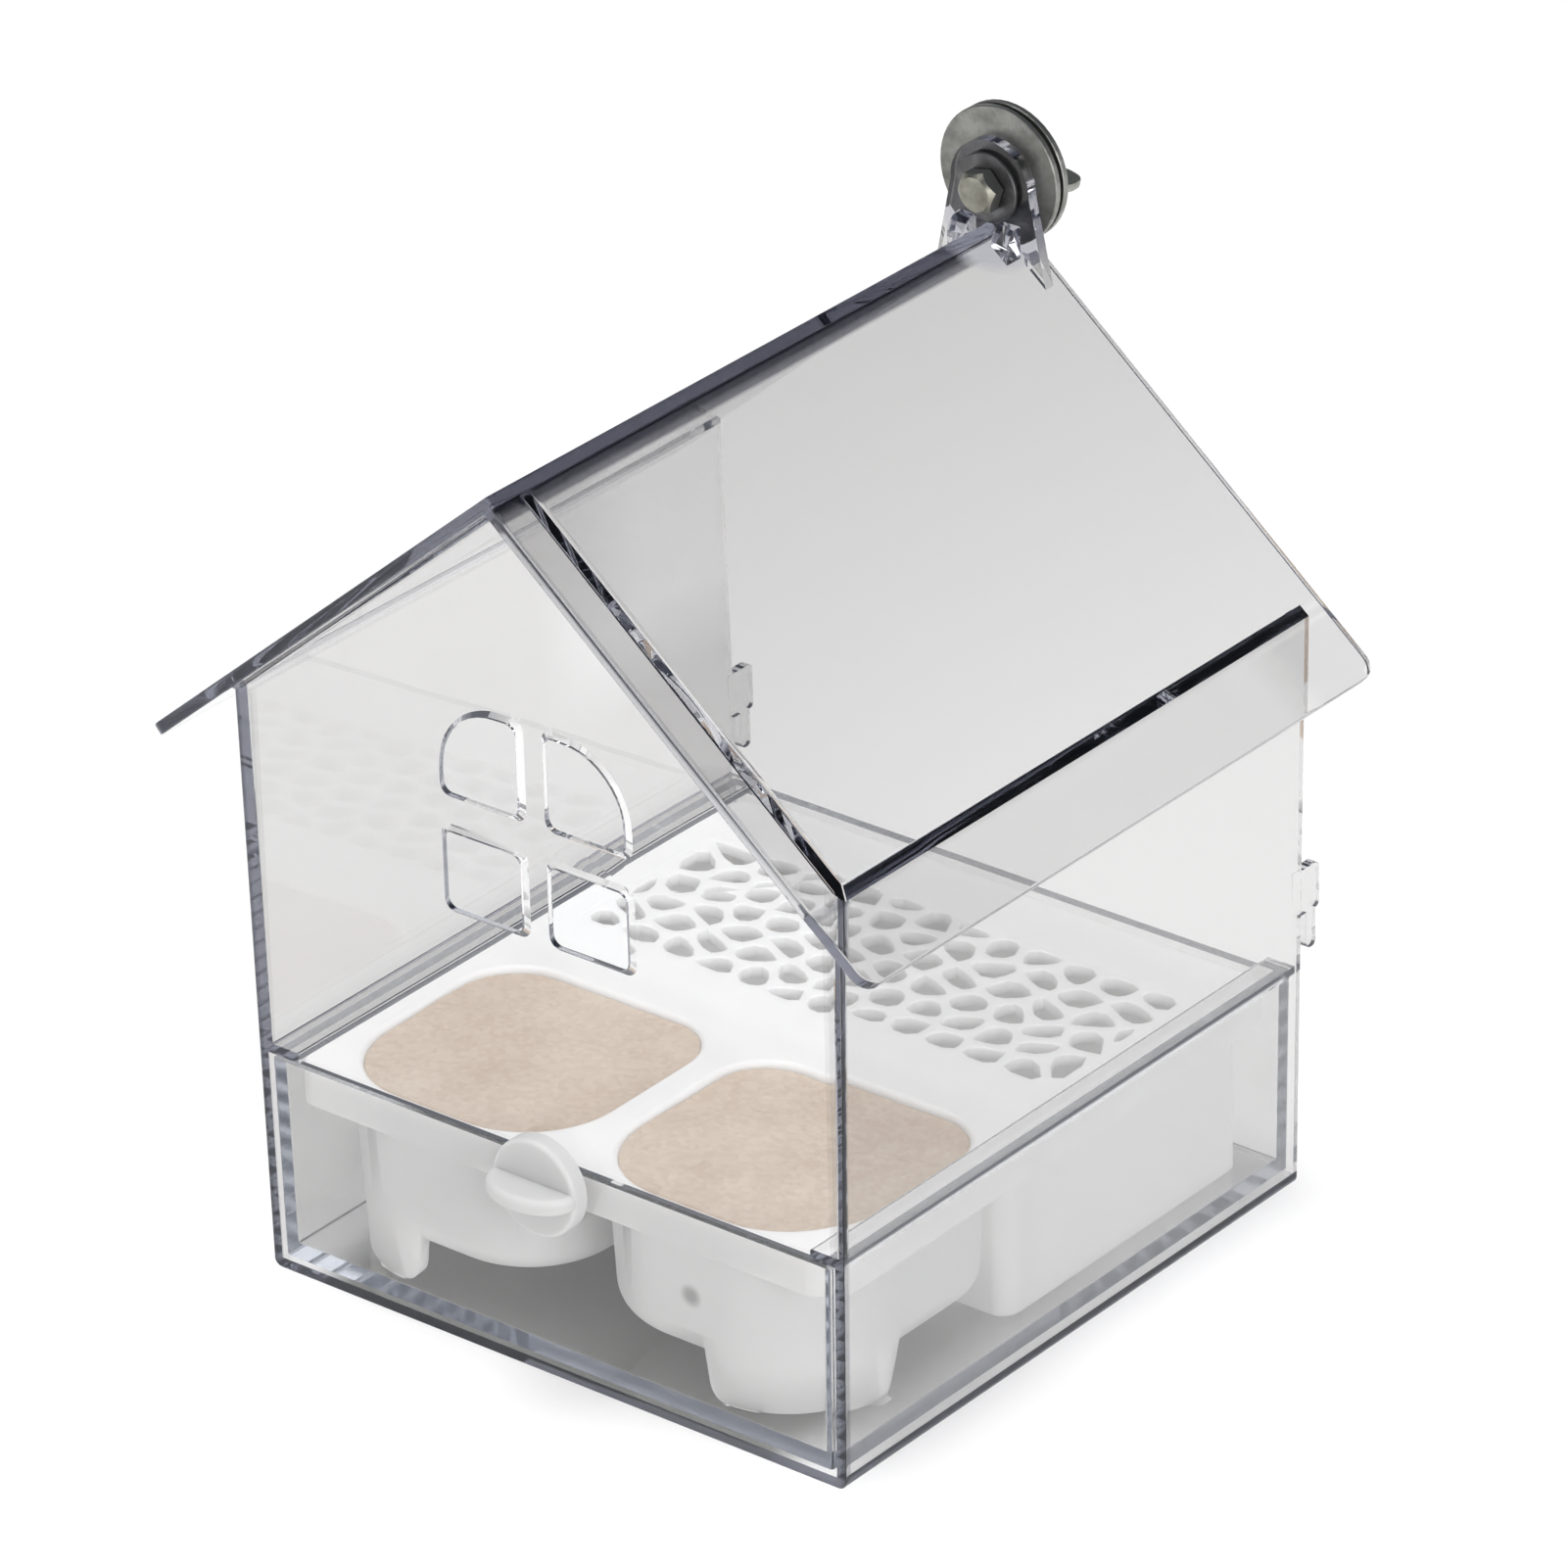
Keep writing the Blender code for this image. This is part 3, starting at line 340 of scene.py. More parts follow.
# %% Window panes
bar, window_x, lip, cut_depth = 0.0033, 0.0222, 0.0011, 0.006
pane_front, pane_back, pane_corner, crown_reach = front_y - 0.004, front_y + cut_depth, 0.0022, 0.015
for label, low_z, high_z, crown in (("lower", 0.094, 0.1105, 0.0022), ("upper", 0.1184, 0.1375, 0.0142)):
    pane = block("pane_" + label, (bar, pane_front, low_z), (window_x, pane_back, high_z))
    round_edges(pane, lambda edge: lies_at(edge, "z", high_z) and lies_at(edge, "x", window_x), crown, 10)
    crowned = crown > pane_corner
    round_edges(pane, lambda edge: span(edge, "y") > 0.005
                and all(max(abs(face.normal.x), abs(face.normal.z)) > 0.99 for face in edge.link_faces)
                and not (crowned and near(edge.verts[0].co.x, window_x)
                         and near(edge.verts[0].co.z, high_z, crown_reach)), pane_corner, 5)
    open_up(pane)
    bpy.ops.mesh.select_all(action="SELECT")
    bpy.ops.mesh.bisect(plane_co=(0, front_y + lip, 0), plane_no=(0, 1, 0))
    pick(pane, "VERT", lambda vert: near(vert.co.y, pane_back))
    reach = cut_depth - lip
    bpy.ops.transform.resize(value=(1 + 2 * reach / (window_x - bar), 1, 1 + 2 * reach / (high_z - low_z)),
                             center_override=((bar + window_x) / 2, front_y, (low_z + high_z) / 2))
    bpy.ops.object.mode_set(mode="OBJECT")
    combine(house, mirrored(pane), "DIFFERENCE")
combine(roof, house, "UNION")
clear_house = roof


def inside_corner(edge):
    """True along the creases where a wall meets the roof's underside."""
    return (len(edge.link_faces) == 2 and edge.calc_face_angle_signed() < -0.5 and edge.calc_length() > 0.02
            and all_at(edge, lambda co: co.z > eave_line_z - 0.003))


roof_crease = 0.0009
round_edges(clear_house, inside_corner, roof_crease, 3)
tidy(clear_house)

# %% [markdown]
# ## Ledges, hooks and the notch at the ridge
#
# A rib inside each side wall keeps the drawer from tipping, and a hook on each wall's back edge reaches
# over a cage wire. Each one is made once, given its twin by a mirror and joined to the house.

# %% Ledges
ledge_x, ledge_root_x, ledge_round = 0.0627, 0.0705, 0.0004
ledge_front, ledge_back = front_y + 0.0012, 0.0706
ledge_low, ledge_high = 0.047, 0.0489
ledge = block("ledge", (ledge_x, ledge_front, ledge_low), (ledge_root_x, ledge_back, ledge_high))
round_edges(ledge, lambda edge: lies_at(edge, "x", ledge_x) and span(edge, "y") > long_edge, ledge_round, 2)
combine(clear_house, mirrored(ledge), "UNION")

# %% [markdown]
# A hook is an arm with a finger. Both are one block: two cuts mark the finger's place on the underside,
# and that face is pulled down.

# %% Hooks
finger_front, finger_back, finger_length = 0.0733, 0.0761, 0.0081
hook_inner_x, hook_outer_x, hook_round = 0.0697, 0.0717, 0.0011
hook_root, hook_tip, hook_low, hook_high = 0.0695, 0.0773, 0.0598, 0.0696
hook = block("hook", (hook_inner_x, hook_root, hook_low), (hook_outer_x, hook_tip, hook_high))
open_up(hook)
for cut in (finger_front, finger_back):
    bpy.ops.mesh.select_all(action="SELECT")
    bpy.ops.mesh.bisect(plane_co=(0, cut, 0), plane_no=(0, 1, 0))
pick(hook, "FACE", lambda face: face.normal.z < -0.9
     and finger_front < face.calc_center_median().y < finger_back)
bpy.ops.mesh.extrude_region_move(TRANSFORM_OT_translate={"value": (0, 0, -finger_length)})
bpy.ops.object.mode_set(mode="OBJECT")
round_edges(hook, lambda edge: span(edge, "x") > 0.002
            and (near(edge.verts[0].co.y, hook_tip) or near(edge.verts[0].co.z, hook_low - finger_length)),
            hook_round, 4)
combine(clear_house, mirrored(hook), "UNION")

# %% [markdown]
# Between the ear and the back wall's edge the moulding has a small step, where the tool's slide closed.

# %% The notch behind the ridge
notch_x, notch_front, notch_round = 0.0072, 0.0713, 0.0022
notch_end, notch_low, notch_high = 0.08, 0.17, 0.195
notch = block("notch", (-notch_x, notch_front, notch_low), (notch_x, notch_end, notch_high))
round_edges(notch, lambda edge: lies_at(edge, "y", notch_front) and span(edge, "z") > 0.02, notch_round, 5)
combine(clear_house, notch, "DIFFERENCE")

# %% [markdown]
# ## The ear
#
# The bolt passes through an ear that stands on the ridge's back end. Its round top is a rod's end, its
# flared foot is a block pulled wide at the bottom, and two short braces in front of it spread the load.

# %% Ear
bolt_z, ear_radius, bore_radius = 0.19619, 0.0094, 0.0028
ear_front, ear_back = 0.0692, 0.0716
foot_x, foot_low, foot_high, foot_flare = 0.0088, 0.1772, 0.1985, 1.52
brace_inner_x, brace_outer_x, brace_low, brace_high = 0.0034, 0.0072, 0.181, 0.1896
brace_front, brace_back, brace_round = ear_front - 0.0042, ear_back - 0.0008, 0.0036
ear = rod("ear", ear_radius, ear_front, ear_back, bolt_z)
foot = block("foot", (-foot_x, ear_front, foot_low), (foot_x, ear_back, foot_high))
widen_at(foot, foot_low, foot_flare)
combine(ear, foot, "UNION")
brace = block("brace", (brace_inner_x, brace_front, brace_low), (brace_outer_x, brace_back, brace_high))
round_edges(brace, lambda edge: lies_at(edge, "y", brace_front) and lies_at(edge, "z", brace_high),
            brace_round, 6)
combine(ear, mirrored(brace), "UNION")
combine(ear, rod("bore", bore_radius, ear_front - 0.006, ear_back + 0.004, bolt_z), "DIFFERENCE")
slice_off(ear, (0, 0, 0), (-1, 0, 0))
slice_off(ear, (0, 0, under_roof_z), (-math.sin(pitch), 0, -math.cos(pitch)))
open_up(ear)
pick(ear, "FACE", lambda face: lies_at(face, "x", 0))
bpy.ops.mesh.delete(type="FACE")
bpy.ops.object.mode_set(mode="OBJECT")
combine(clear_house, mirrored(ear), "UNION")
tidy(clear_house)

# %% [markdown]
# ## The drawer
#
# The drawer is an open box of the same clear plastic. Its sides lean as the house's walls do, so it is a
# block widened at the top, hollowed by a second, smaller one whose edges are rounded first: they become
# the soft inner corners that a moulding tool leaves.

# %% Drawer
drawer_low, drawer_top, drawer_floor, drawer_back = 0.0034, 0.0467, 0.006, 0.0706
drawer_play, knob_z, peg_hole_radius = 0.00045, 0.0426, 0.0033
outer_round, inner_round, well_top = 0.0006, 0.0004, 0.05


def drawer_x(height):
    """Half the drawer's width at a height."""
    return outer_x(height) - wall - drawer_play


def upright(edge):
    """True for an edge that climbs, and false for the flat ones and for those of small rounds."""
    return span(edge, "z") > 0.004


drawer_foot_x = drawer_x(drawer_low)
clear_drawer = block("clear_drawer", (-drawer_foot_x, front_y, drawer_low),
                     (drawer_foot_x, drawer_back, drawer_top))
widen_at(clear_drawer, drawer_top, drawer_x(drawer_top) / drawer_foot_x)
round_edges(clear_drawer, upright, outer_round, 3)
well_x = drawer_x(drawer_floor) - skin
well = block("well", (-well_x, front_y + skin, drawer_floor), (well_x, drawer_back - skin, well_top))
widen_at(well, well_top, (drawer_x(well_top) - skin) / well_x)
round_edges(well, upright, inner_round, 3)
round_edges(well, lambda edge: lies_at(edge, "z", drawer_floor), inner_round, 3)
combine(clear_drawer, well, "DIFFERENCE")
combine(clear_drawer, rod("peg_hole", peg_hole_radius, front_y - 0.003, front_y + 0.006, knob_z), "DIFFERENCE")
tidy(clear_drawer)

# %% [markdown]
# ## The feeding insert
#
# The insert is one white moulding: a lipped plate, two cups with a leg each, a skirt that boxes in the
# husks and a perforated place to stand. It is built up from its outsides first, and the cups are only
# hollowed once everything is joined, so that nothing reaches into them.

# %% Tray
insert_top, plate_under = 0.046, 0.0438
insert_x = drawer_x(insert_top) - 0.0036
insert_front, insert_back, insert_wall = -0.0681, 0.0676, 0.0018
tray_low, tray_corner, tray_rim = 0.0378, 0.0048, 0.0009
under_low, under_corner, under_round = 0.03, tray_corner - 0.0016, 0.001


def boxed(name, half_x, front, back, low, high, inset=0):
    """A block from side to side of the insert, smaller by an inset all round."""
    return block(name, (-half_x + inset, front + inset, low), (half_x - inset, back - inset, high))


feeding_insert = boxed("feeding_insert", insert_x, insert_front, insert_back, tray_low, insert_top)
round_edges(feeding_insert, upright, tray_corner, 8)
round_edges(feeding_insert, lambda edge: lies_at(edge, "z", insert_top), tray_rim, 4)
under = boxed("under", insert_x, insert_front, insert_back, under_low, plate_under, insert_wall)
round_edges(under, upright, under_corner, 6)
round_edges(under, lambda edge: lies_at(edge, "z", plate_under), under_round, 3)
combine(feeding_insert, under, "DIFFERENCE")

# %% [markdown]
# A cup is a rounded square that narrows downwards, with larger corners in front than behind. The same
# form, grown or shrunk, later gives the legs, the hollow and the seed.

# %% Cups
cup_x, cup_y = 0.03168, -0.0383
cup_half_x, cup_half_y, cup_top = 0.02788, 0.0274, 0.0451
front_corner, back_corner, cup_draft = 0.0192, 0.0128, 1.02


def cup_form(name, grow, low, high, floor_radius, reach=0):
    """A rounded square block round a cup's middle that narrows a little downwards."""
    form = block(name, (cup_x - cup_half_x - grow, cup_y - cup_half_y - grow - reach, low),
                 (cup_x + cup_half_x + grow, cup_y + cup_half_y + grow, high))
    for height in (low, high):
        share = 1 - cup_draft * (cup_top - height)
        open_up(form)
        pick(form, "VERT", lambda vert: near(vert.co.z, height))
        bpy.ops.transform.resize(value=(share, share, 1), center_override=(cup_x, cup_y, height))
        bpy.ops.object.mode_set(mode="OBJECT")
    for corner, is_there in ((front_corner, lambda co: co.y < cup_y), (back_corner, lambda co: co.y > cup_y)):
        round_edges(form, lambda edge: upright(edge) and all_at(edge, is_there)
                    and edge.calc_length() > 0.9 * (high - low) and edge.calc_face_angle(0) > 1,
                    corner + grow, 14)
    if floor_radius:
        round_edges(form, lambda edge: lies_at(edge, "z", low), floor_radius, 7)
    return form


cup_wall, cup_low, cup_foot_round, front_reach = 0.0016, 0.0138, 0.0062, 0.0008
cup = cup_form("cup", cup_wall, cup_low, cup_top, cup_foot_round, front_reach)
combine(feeding_insert, mirrored(cup), "UNION")

# %% [markdown]
# A leg continues the cup's outer wall down to the drawer's floor. It is a ring of that wall, cut by two
# slanting planes, so that only its outer corner stays.

# %% Legs
leg_foot, leg_top, leg_wall, leg_inset, toe_round = 0.0063, 0.0215, 0.00157, -0.0006, 0.0034
leg_inner_x, leg_back_y = 0.0365, -0.0475
inner_slant, back_slant = (-0.0123, 0, -0.0016), (0, 0.0123, -0.0035)
leg = cup_form("leg", leg_wall, leg_foot, leg_top, 0, front_reach)
combine(leg, cup_form("leg_inside", leg_inset, 0.005, 0.03, 0), "DIFFERENCE")
slice_off(leg, (leg_inner_x, 0, leg_foot), inner_slant)
slice_off(leg, (0, leg_back_y, leg_foot), back_slant)


def at_toe(edge):
    """True on the two short edges where the leg's foot meets a cut side."""
    cut_sides = sum(1 for face in edge.link_faces if face.normal.x < -0.95 or face.normal.y > 0.9)
    return cut_sides == 1 and lies_at(edge, "z", leg_foot)


round_edges(leg, at_toe, toe_round, 7)
combine(feeding_insert, mirrored(leg), "UNION")

# %% [markdown]
# Behind the cups the insert is only a skirt, open below, so that husks fall through the grille into it.

# %% Skirt
skirt_x, skirt_front, skirt_back, skirt_low = 0.06126, -0.0128, 0.0623, 0.0066
skirt_top, skirt_corner, room_corner_round = 0.0446, 0.004, 0.0022
skirt = boxed("skirt", skirt_x, skirt_front, skirt_back, skirt_low, skirt_top)
round_edges(skirt, upright, skirt_corner, 6)
skirt_room = boxed("skirt_room", skirt_x, skirt_front, skirt_back, 0, 0.05, insert_wall)
round_edges(skirt_room, upright, room_corner_round, 6)
combine(skirt, skirt_room, "DIFFERENCE")
combine(feeding_insert, skirt, "UNION")

# %% [markdown]
# The hollows come last, so that one cut makes each cup's inside clean through everything joined before.
# Then the rims get their small round.

# %% Hollow cups
hollow_floor, hollow_round = 0.0154, 0.0055
combine(feeding_insert, mirrored(cup_form("hollow", 0, hollow_floor, 0.05, hollow_round)), "DIFFERENCE")


def at_cup_rim(edge):
    """True on the sharp edge where the tray turns down into a cup."""
    flat = sum(1 for face in edge.link_faces if face.normal.z > 0.98)
    return (flat == 1 and lies_at(edge, "z", insert_top)
            and all_at(edge, lambda co: abs(abs(co.x) - cup_x) < cup_half_x + 0.0005
                       and abs(co.y - cup_y) < cup_half_y + 0.0005))


cup_rim_round = 0.0012
round_edges(feeding_insert, at_cup_rim, cup_rim_round, 5)

# %% [markdown]
# ## The perforated place to stand
#
# Its cells are all different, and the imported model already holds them. So a copy of that node is merged
# and cleaned of the lines inside its flat faces, the rims of its cells are rounded as worn moulding
# edges are, and the copy is joined into an opening in the tray.

# %% Standing place
grille = bpy.data.objects.new("grille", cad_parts["standing_grille"].data.copy())
bpy.context.scene.collection.objects.link(grille)
grille_low, grille_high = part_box("standing_grille")
open_up(grille)
bpy.ops.mesh.select_all(action="SELECT")
bpy.ops.mesh.remove_doubles(threshold=0.000002)
bpy.ops.mesh.dissolve_limited(angle_limit=math.radians(0.5))
bpy.ops.mesh.select_all(action="SELECT")
sunk, seat, border, cell_rim = 0.00004, 0.0006, 0.001, 0.0003
bpy.ops.transform.translate(value=(0, 0, -sunk))
bpy.ops.object.mode_set(mode="OBJECT")
rim_z = grille_high.z - sunk
round_edges(grille, lambda edge: all_at(edge, lambda co: near(co.z, rim_z) and abs(co.x) < grille_high.x - border
                                        and grille_low.y + border < co.y < grille_high.y - border)
            and len(edge.link_faces) == 2 and min(face.normal.z for face in edge.link_faces) < 0.5, cell_rim, 2)
opening_low, opening_high, opening_corner = 0.04, 0.05, 0.0024
opening = block("opening", (grille_low.x + seat, grille_low.y + seat, opening_low),
                (grille_high.x - seat, grille_high.y - seat, opening_high))
round_edges(opening, upright, opening_corner, 5)
combine(feeding_insert, opening, "DIFFERENCE")
combine(feeding_insert, grille, "UNION")
tidy(feeding_insert, 40)

# %% [markdown]
# ## Seed in the cups
#
# Fine pale seed fills both cups almost to the rim. Its top starts as a fine grid, pulled up and down by a
# noise that is broad for the heap and small for the grains, and the cup's own form trims its sides.

# %% Seed in the cups
seed_top, seed_depth, seed_gap = 0.0447, 0.035, 0.00008
seed_low, seed_high, grid_size, grid_steps = 0.0155, 0.05, 0.06, 110
heap_height, heap_scale, grain_height, grain_scale = 0.0007, 45, 0.00016, 700


def seed_fill(name, side):
    """A block with an uneven top, trimmed to the inside of one cup."""
    bpy.ops.object.select_all(action="DESELECT")
    bpy.ops.mesh.primitive_grid_add(x_subdivisions=grid_steps, y_subdivisions=grid_steps, size=grid_size,
                                    location=(side * cup_x, cup_y, seed_top))
    bpy.ops.object.transform_apply(location=True, rotation=True, scale=True)
    fill = bpy.context.active_object
    fill.name = fill.data.name = name
    open_up(fill)
    bpy.ops.mesh.select_all(action="SELECT")
    bpy.ops.mesh.extrude_region_move(TRANSFORM_OT_translate={"value": (0, 0, -seed_depth)})
    bpy.ops.mesh.select_all(action="SELECT")
    bpy.ops.mesh.normals_make_consistent(inside=False)
    bpy.ops.object.mode_set(mode="OBJECT")
    for vert in fill.data.vertices:
        if vert.co.z > seed_top - 0.001:
            heap = noise.noise(vert.co * heap_scale) * heap_height
            grain = noise.noise(vert.co * grain_scale) * grain_height
            vert.co.z += heap + grain
    form = cup_form(name + "_form", -seed_gap, seed_low, seed_high, hollow_round)
    if side < 0:
        open_up(form)
        bpy.ops.mesh.select_all(action="SELECT")
        bpy.ops.transform.translate(value=(-2 * cup_x, 0, 0))
        bpy.ops.object.mode_set(mode="OBJECT")
    combine(fill, form, "INTERSECT")
    tidy(fill, 50)
    return fill


left_seed = seed_fill("left_seed", -1)
right_seed = seed_fill("right_seed", 1)

# %% [markdown]
# ## The knob
#
# A white disc sits on the drawer's front with a thick, half-oval grip, and a peg behind it goes through
# the panel. The grip is a cylinder squashed to an oval and cut off inside the disc.

# %% Knob
disc_front, disc_back, disc_radius = -0.0751, -0.0714, 0.0102
grip_half_x, grip_half_y, grip_thickness = 0.0101, 0.0071, 0.0034
disc_round, grip_round, grip_sunk = 0.0009, 0.0013, 0.0012
moulded_knob = rod("moulded_knob", disc_radius, disc_front, disc_back, knob_z, 72)
round_edges(moulded_knob, lambda edge: lies_at(edge, "y", disc_front), disc_round, 4)
bpy.ops.object.select_all(action="DESELECT")
bpy.ops.mesh.primitive_cylinder_add(vertices=72, radius=1, depth=1, location=(0, disc_front, knob_z),
                                    scale=(grip_half_x, grip_half_y, grip_thickness))
bpy.ops.object.transform_apply(location=True, rotation=True, scale=True)
grip = bpy.context.active_object
grip.name = "grip"
round_edges(grip, lambda edge: span(edge, "z") < same_place, grip_round, 5)
slice_off(grip, (0, disc_front + grip_sunk, 0), (0, 1, 0))
combine(moulded_knob, grip, "UNION")
peg_radius, peg_front, peg_back = 0.003, -0.0722, -0.0688
combine(moulded_knob, rod("peg", peg_radius, peg_front, peg_back, knob_z, 40), "UNION")
tidy(moulded_knob, 35)

# %% [markdown]
# ## Bolt
#
# The bolt's head is a six-sided rod whose corners are turned off, which is the same as keeping only what
# lies inside a bevelled round rod.

# %% Bolt head
head_front, head_back, shank_back = 0.0642, 0.0677, 0.0877
head_corner_radius, head_turn = 0.004619, math.radians(-18)
turned_radius, head_chamfer = 0.0048, 0.0013
threaded_bolt = rod("threaded_bolt", head_corner_radius, head_front, head_back, bolt_z, 6)
turn(threaded_bolt, head_turn, bolt_z)
turned_form = rod("turned_form", turned_radius, head_front, head_back + 0.001, bolt_z)
round_edges(turned_form, lambda edge: lies_at(edge, "y", head_front), head_chamfer, 1)
combine(threaded_bolt, turned_form, "INTERSECT")

# %% [markdown]
# The thread is one V-shaped tooth. The Screw modifier winds it round the axis with its rise set to the
# pitch, and a rod with a rounded end trims what stands over.

# %% Thread
pitch_rise, root_radius, crest_radius = 0.0008, 0.0021, 0.0025
thread_start, thread_from, tip_round = 0.066411, 0.067, 0.0005
bpy.ops.object.select_all(action="DESELECT")
bpy.ops.mesh.primitive_plane_add(size=pitch_rise / math.sqrt(2), location=(root_radius, thread_start, 0),
                                 rotation=(0, 0, math.pi / 4))
bpy.ops.object.transform_apply(location=True, rotation=True, scale=True)
thread = bpy.context.active_object
thread.name = "thread"
open_up(thread)
pick(thread, "VERT", lambda vert: vert.co.x < root_radius - 0.0001)
bpy.ops.mesh.delete(type="VERT")
bpy.ops.object.mode_set(mode="OBJECT")
bpy.ops.object.modifier_add(type="SCREW")
winding = thread.modifiers[-1]
winding.axis = "Y"
winding.steps = winding.render_steps = 32
winding.iterations = 28
winding.screw_offset = pitch_rise
winding.use_merge_vertices = True
winding.merge_threshold = 0.000002
finish_modifier(thread)
open_up(thread)
bpy.ops.mesh.select_all(action="SELECT")
bpy.ops.mesh.remove_doubles(threshold=0.000002)
bpy.ops.mesh.fill_holes(sides=0)
bpy.ops.mesh.select_all(action="SELECT")
bpy.ops.mesh.normals_make_consistent(inside=False)
bpy.ops.transform.translate(value=(0, 0, bolt_z))
bpy.ops.object.mode_set(mode="OBJECT")
print("thread from", round(min(v.co.y for v in thread.data.vertices), 5), "to",
      round(max(v.co.y for v in thread.data.vertices), 5))
thread_end = rod("thread_end", crest_radius + 0.00001, thread_from, shank_back, bolt_z)
round_edges(thread_end, lambda edge: lies_at(edge, "y", shank_back), tip_round, 2)
combine(thread, thread_end, "INTERSECT")
combine(threaded_bolt, thread, "UNION")
tidy(threaded_bolt, 28)

# %% [markdown]
# ## Wing nut
#
# A cone for the boss and two slanted wings with round tips. One wing is a block cut to its slant by two
# planes, then rounded, and a mirror gives the other.

# %% Wing nut
nut_front, nut_length, wing_tip_y = 0.076, 0.0042, 0.0858
boss_radius, boss_end_radius, nut_bore_radius = 0.0048, 0.0038, 0.0026
wing_inner_x, wing_outer_x, half_thickness = 0.0028, 0.0104, 0.001
wing_front, nut_turn = nut_front + 0.0004, math.radians(-14)
wing_root_x, wing_crown_x, wing_round, cast_round = 0.0048, 0.0052, 0.0019, 0.0004
root_slant, crown_slant = (0.0044, -0.0056, 0), (-0.006, 0.0024, 0)
bpy.ops.object.select_all(action="DESELECT")
bpy.ops.mesh.primitive_cone_add(vertices=64, radius1=boss_radius, radius2=boss_end_radius, depth=nut_length,
                                location=(0, nut_front + nut_length / 2, bolt_z), rotation=(-math.pi / 2, 0, 0))
bpy.ops.object.transform_apply(location=True, rotation=True, scale=True)
cast_wing_nut = bpy.context.active_object
cast_wing_nut.name = cast_wing_nut.data.name = "cast_wing_nut"
round_edges(cast_wing_nut, lambda edge: lies_at(edge, "y", nut_front + nut_length), cast_round, 2)
wing = block("wing", (wing_inner_x, wing_front, bolt_z - half_thickness),
             (wing_outer_x, wing_tip_y, bolt_z + half_thickness))
slice_off(wing, (wing_root_x, wing_front, 0), root_slant)
slice_off(wing, (wing_crown_x, wing_tip_y, 0), crown_slant)
round_edges(wing, lambda edge: span(edge, "z") > half_thickness
            and all_at(edge, lambda co: co.x > wing_crown_x - 0.0001), wing_round, 5)
round_edges(wing, lambda edge: span(edge, "z") < same_place and not lies_at(edge, "x", wing_inner_x),
            cast_round, 2)
combine(cast_wing_nut, mirrored(wing), "UNION")
nut_bore = rod("nut_bore", nut_bore_radius, nut_front - 0.002, nut_front + 0.008, bolt_z, 40)
combine(cast_wing_nut, nut_bore, "DIFFERENCE")
turn(cast_wing_nut, nut_turn, bolt_z)
tidy(cast_wing_nut, 40)

# %% [markdown]
# ## Building a material
#
# Every finish is a small network of nodes. A few helpers keep the cells short: they add a node and set its
# inputs by name or by number, do a sum, lay one colour over another, or make a ramp. A node group is an
# effect that several materials share. It only hands out colours, masks and heights, and each material
# keeps its own Principled shader.

# %% Node helpers
def add_node(tree, kind, settings=None, **inputs):
    """Add a node, set its options, then set its inputs or link them."""
    made = tree.nodes.new("ShaderNode" + kind)
    for key, value in (settings or {}).items():
        setattr(made, key, value)
    for key, value in inputs.items():
        socket = made.inputs[int(key[1:])] if key[0] == "_" else made.inputs[key.replace("_", " ")]
        if isinstance(value, bpy.types.NodeSocket):
            tree.links.new(value, socket)
        else:
            socket.default_value = value
    return made


def new_group(name, inputs, outputs):
    """A node group with named values going in, and named values or colours coming out."""
    group = bpy.data.node_groups.new(name, "ShaderNodeTree")
    for label, value in inputs.items():
        group.interface.new_socket(label, in_out="INPUT", socket_type="NodeSocketFloat").default_value = value
    for label, kind in outputs.items():
        group.interface.new_socket(label, in_out="OUTPUT", socket_type="NodeSocket" + kind)
    source = group.nodes.new("NodeGroupInput").outputs
    result = group.nodes.new("NodeGroupOutput").inputs
    return group, source, result


def new_material(name):
    """A material with its Principled shader, and the place that patterns read."""
    material = bpy.data.materials.new(name)
    material.use_nodes = True
    tree = material.node_tree
    place = add_node(tree, "TexCoord").outputs["Object"]
    return material, tree, tree.nodes["Principled BSDF"], place


def use_group(tree, group, **inputs):
    """Place a node group in a material."""
    return add_node(tree, "Group", {"node_tree": group}, **inputs).outputs


def work_out(tree, operation, *values):
    """The answer of a Math node to its values."""
    numbered = {"_" + str(number): value for number, value in enumerate(values)}
    return add_node(tree, "Math", {"operation": operation}, **numbered).outputs["Value"]


def lay_over(tree, tone, mask, cover):
    """Mix a colour over a tone where a mask is full."""
    return add_node(tree, "Mix", {"data_type": "RGBA"}, Factor=mask, _6=tone, _7=cover).outputs[2]


def colour_ramp(tree, value, *stops):
    """A ramp's colour, with its stops given as pairs of place and colour."""
    made = add_node(tree, "ValToRGB", Fac=value)
    elements = made.color_ramp.elements
    for element, stop in zip(elements, stops):
        element.position, element.color = stop
    for place, colour in stops[2:]:
        elements.new(place).color = colour
    return made.outputs["Color"]


print("node helpers", add_node.__name__, work_out.__name__, lay_over.__name__, colour_ramp.__name__)

# %% [markdown]
# ## Marks in clear plastic
#
# Clear moulded plastic is never perfectly flat. Its skin has slow waves from the flow of the melt, a haze
# of fingerprints in places, and hairline scratches. The waves become a faint bump, the haze and the
# scratches raise the roughness a little.

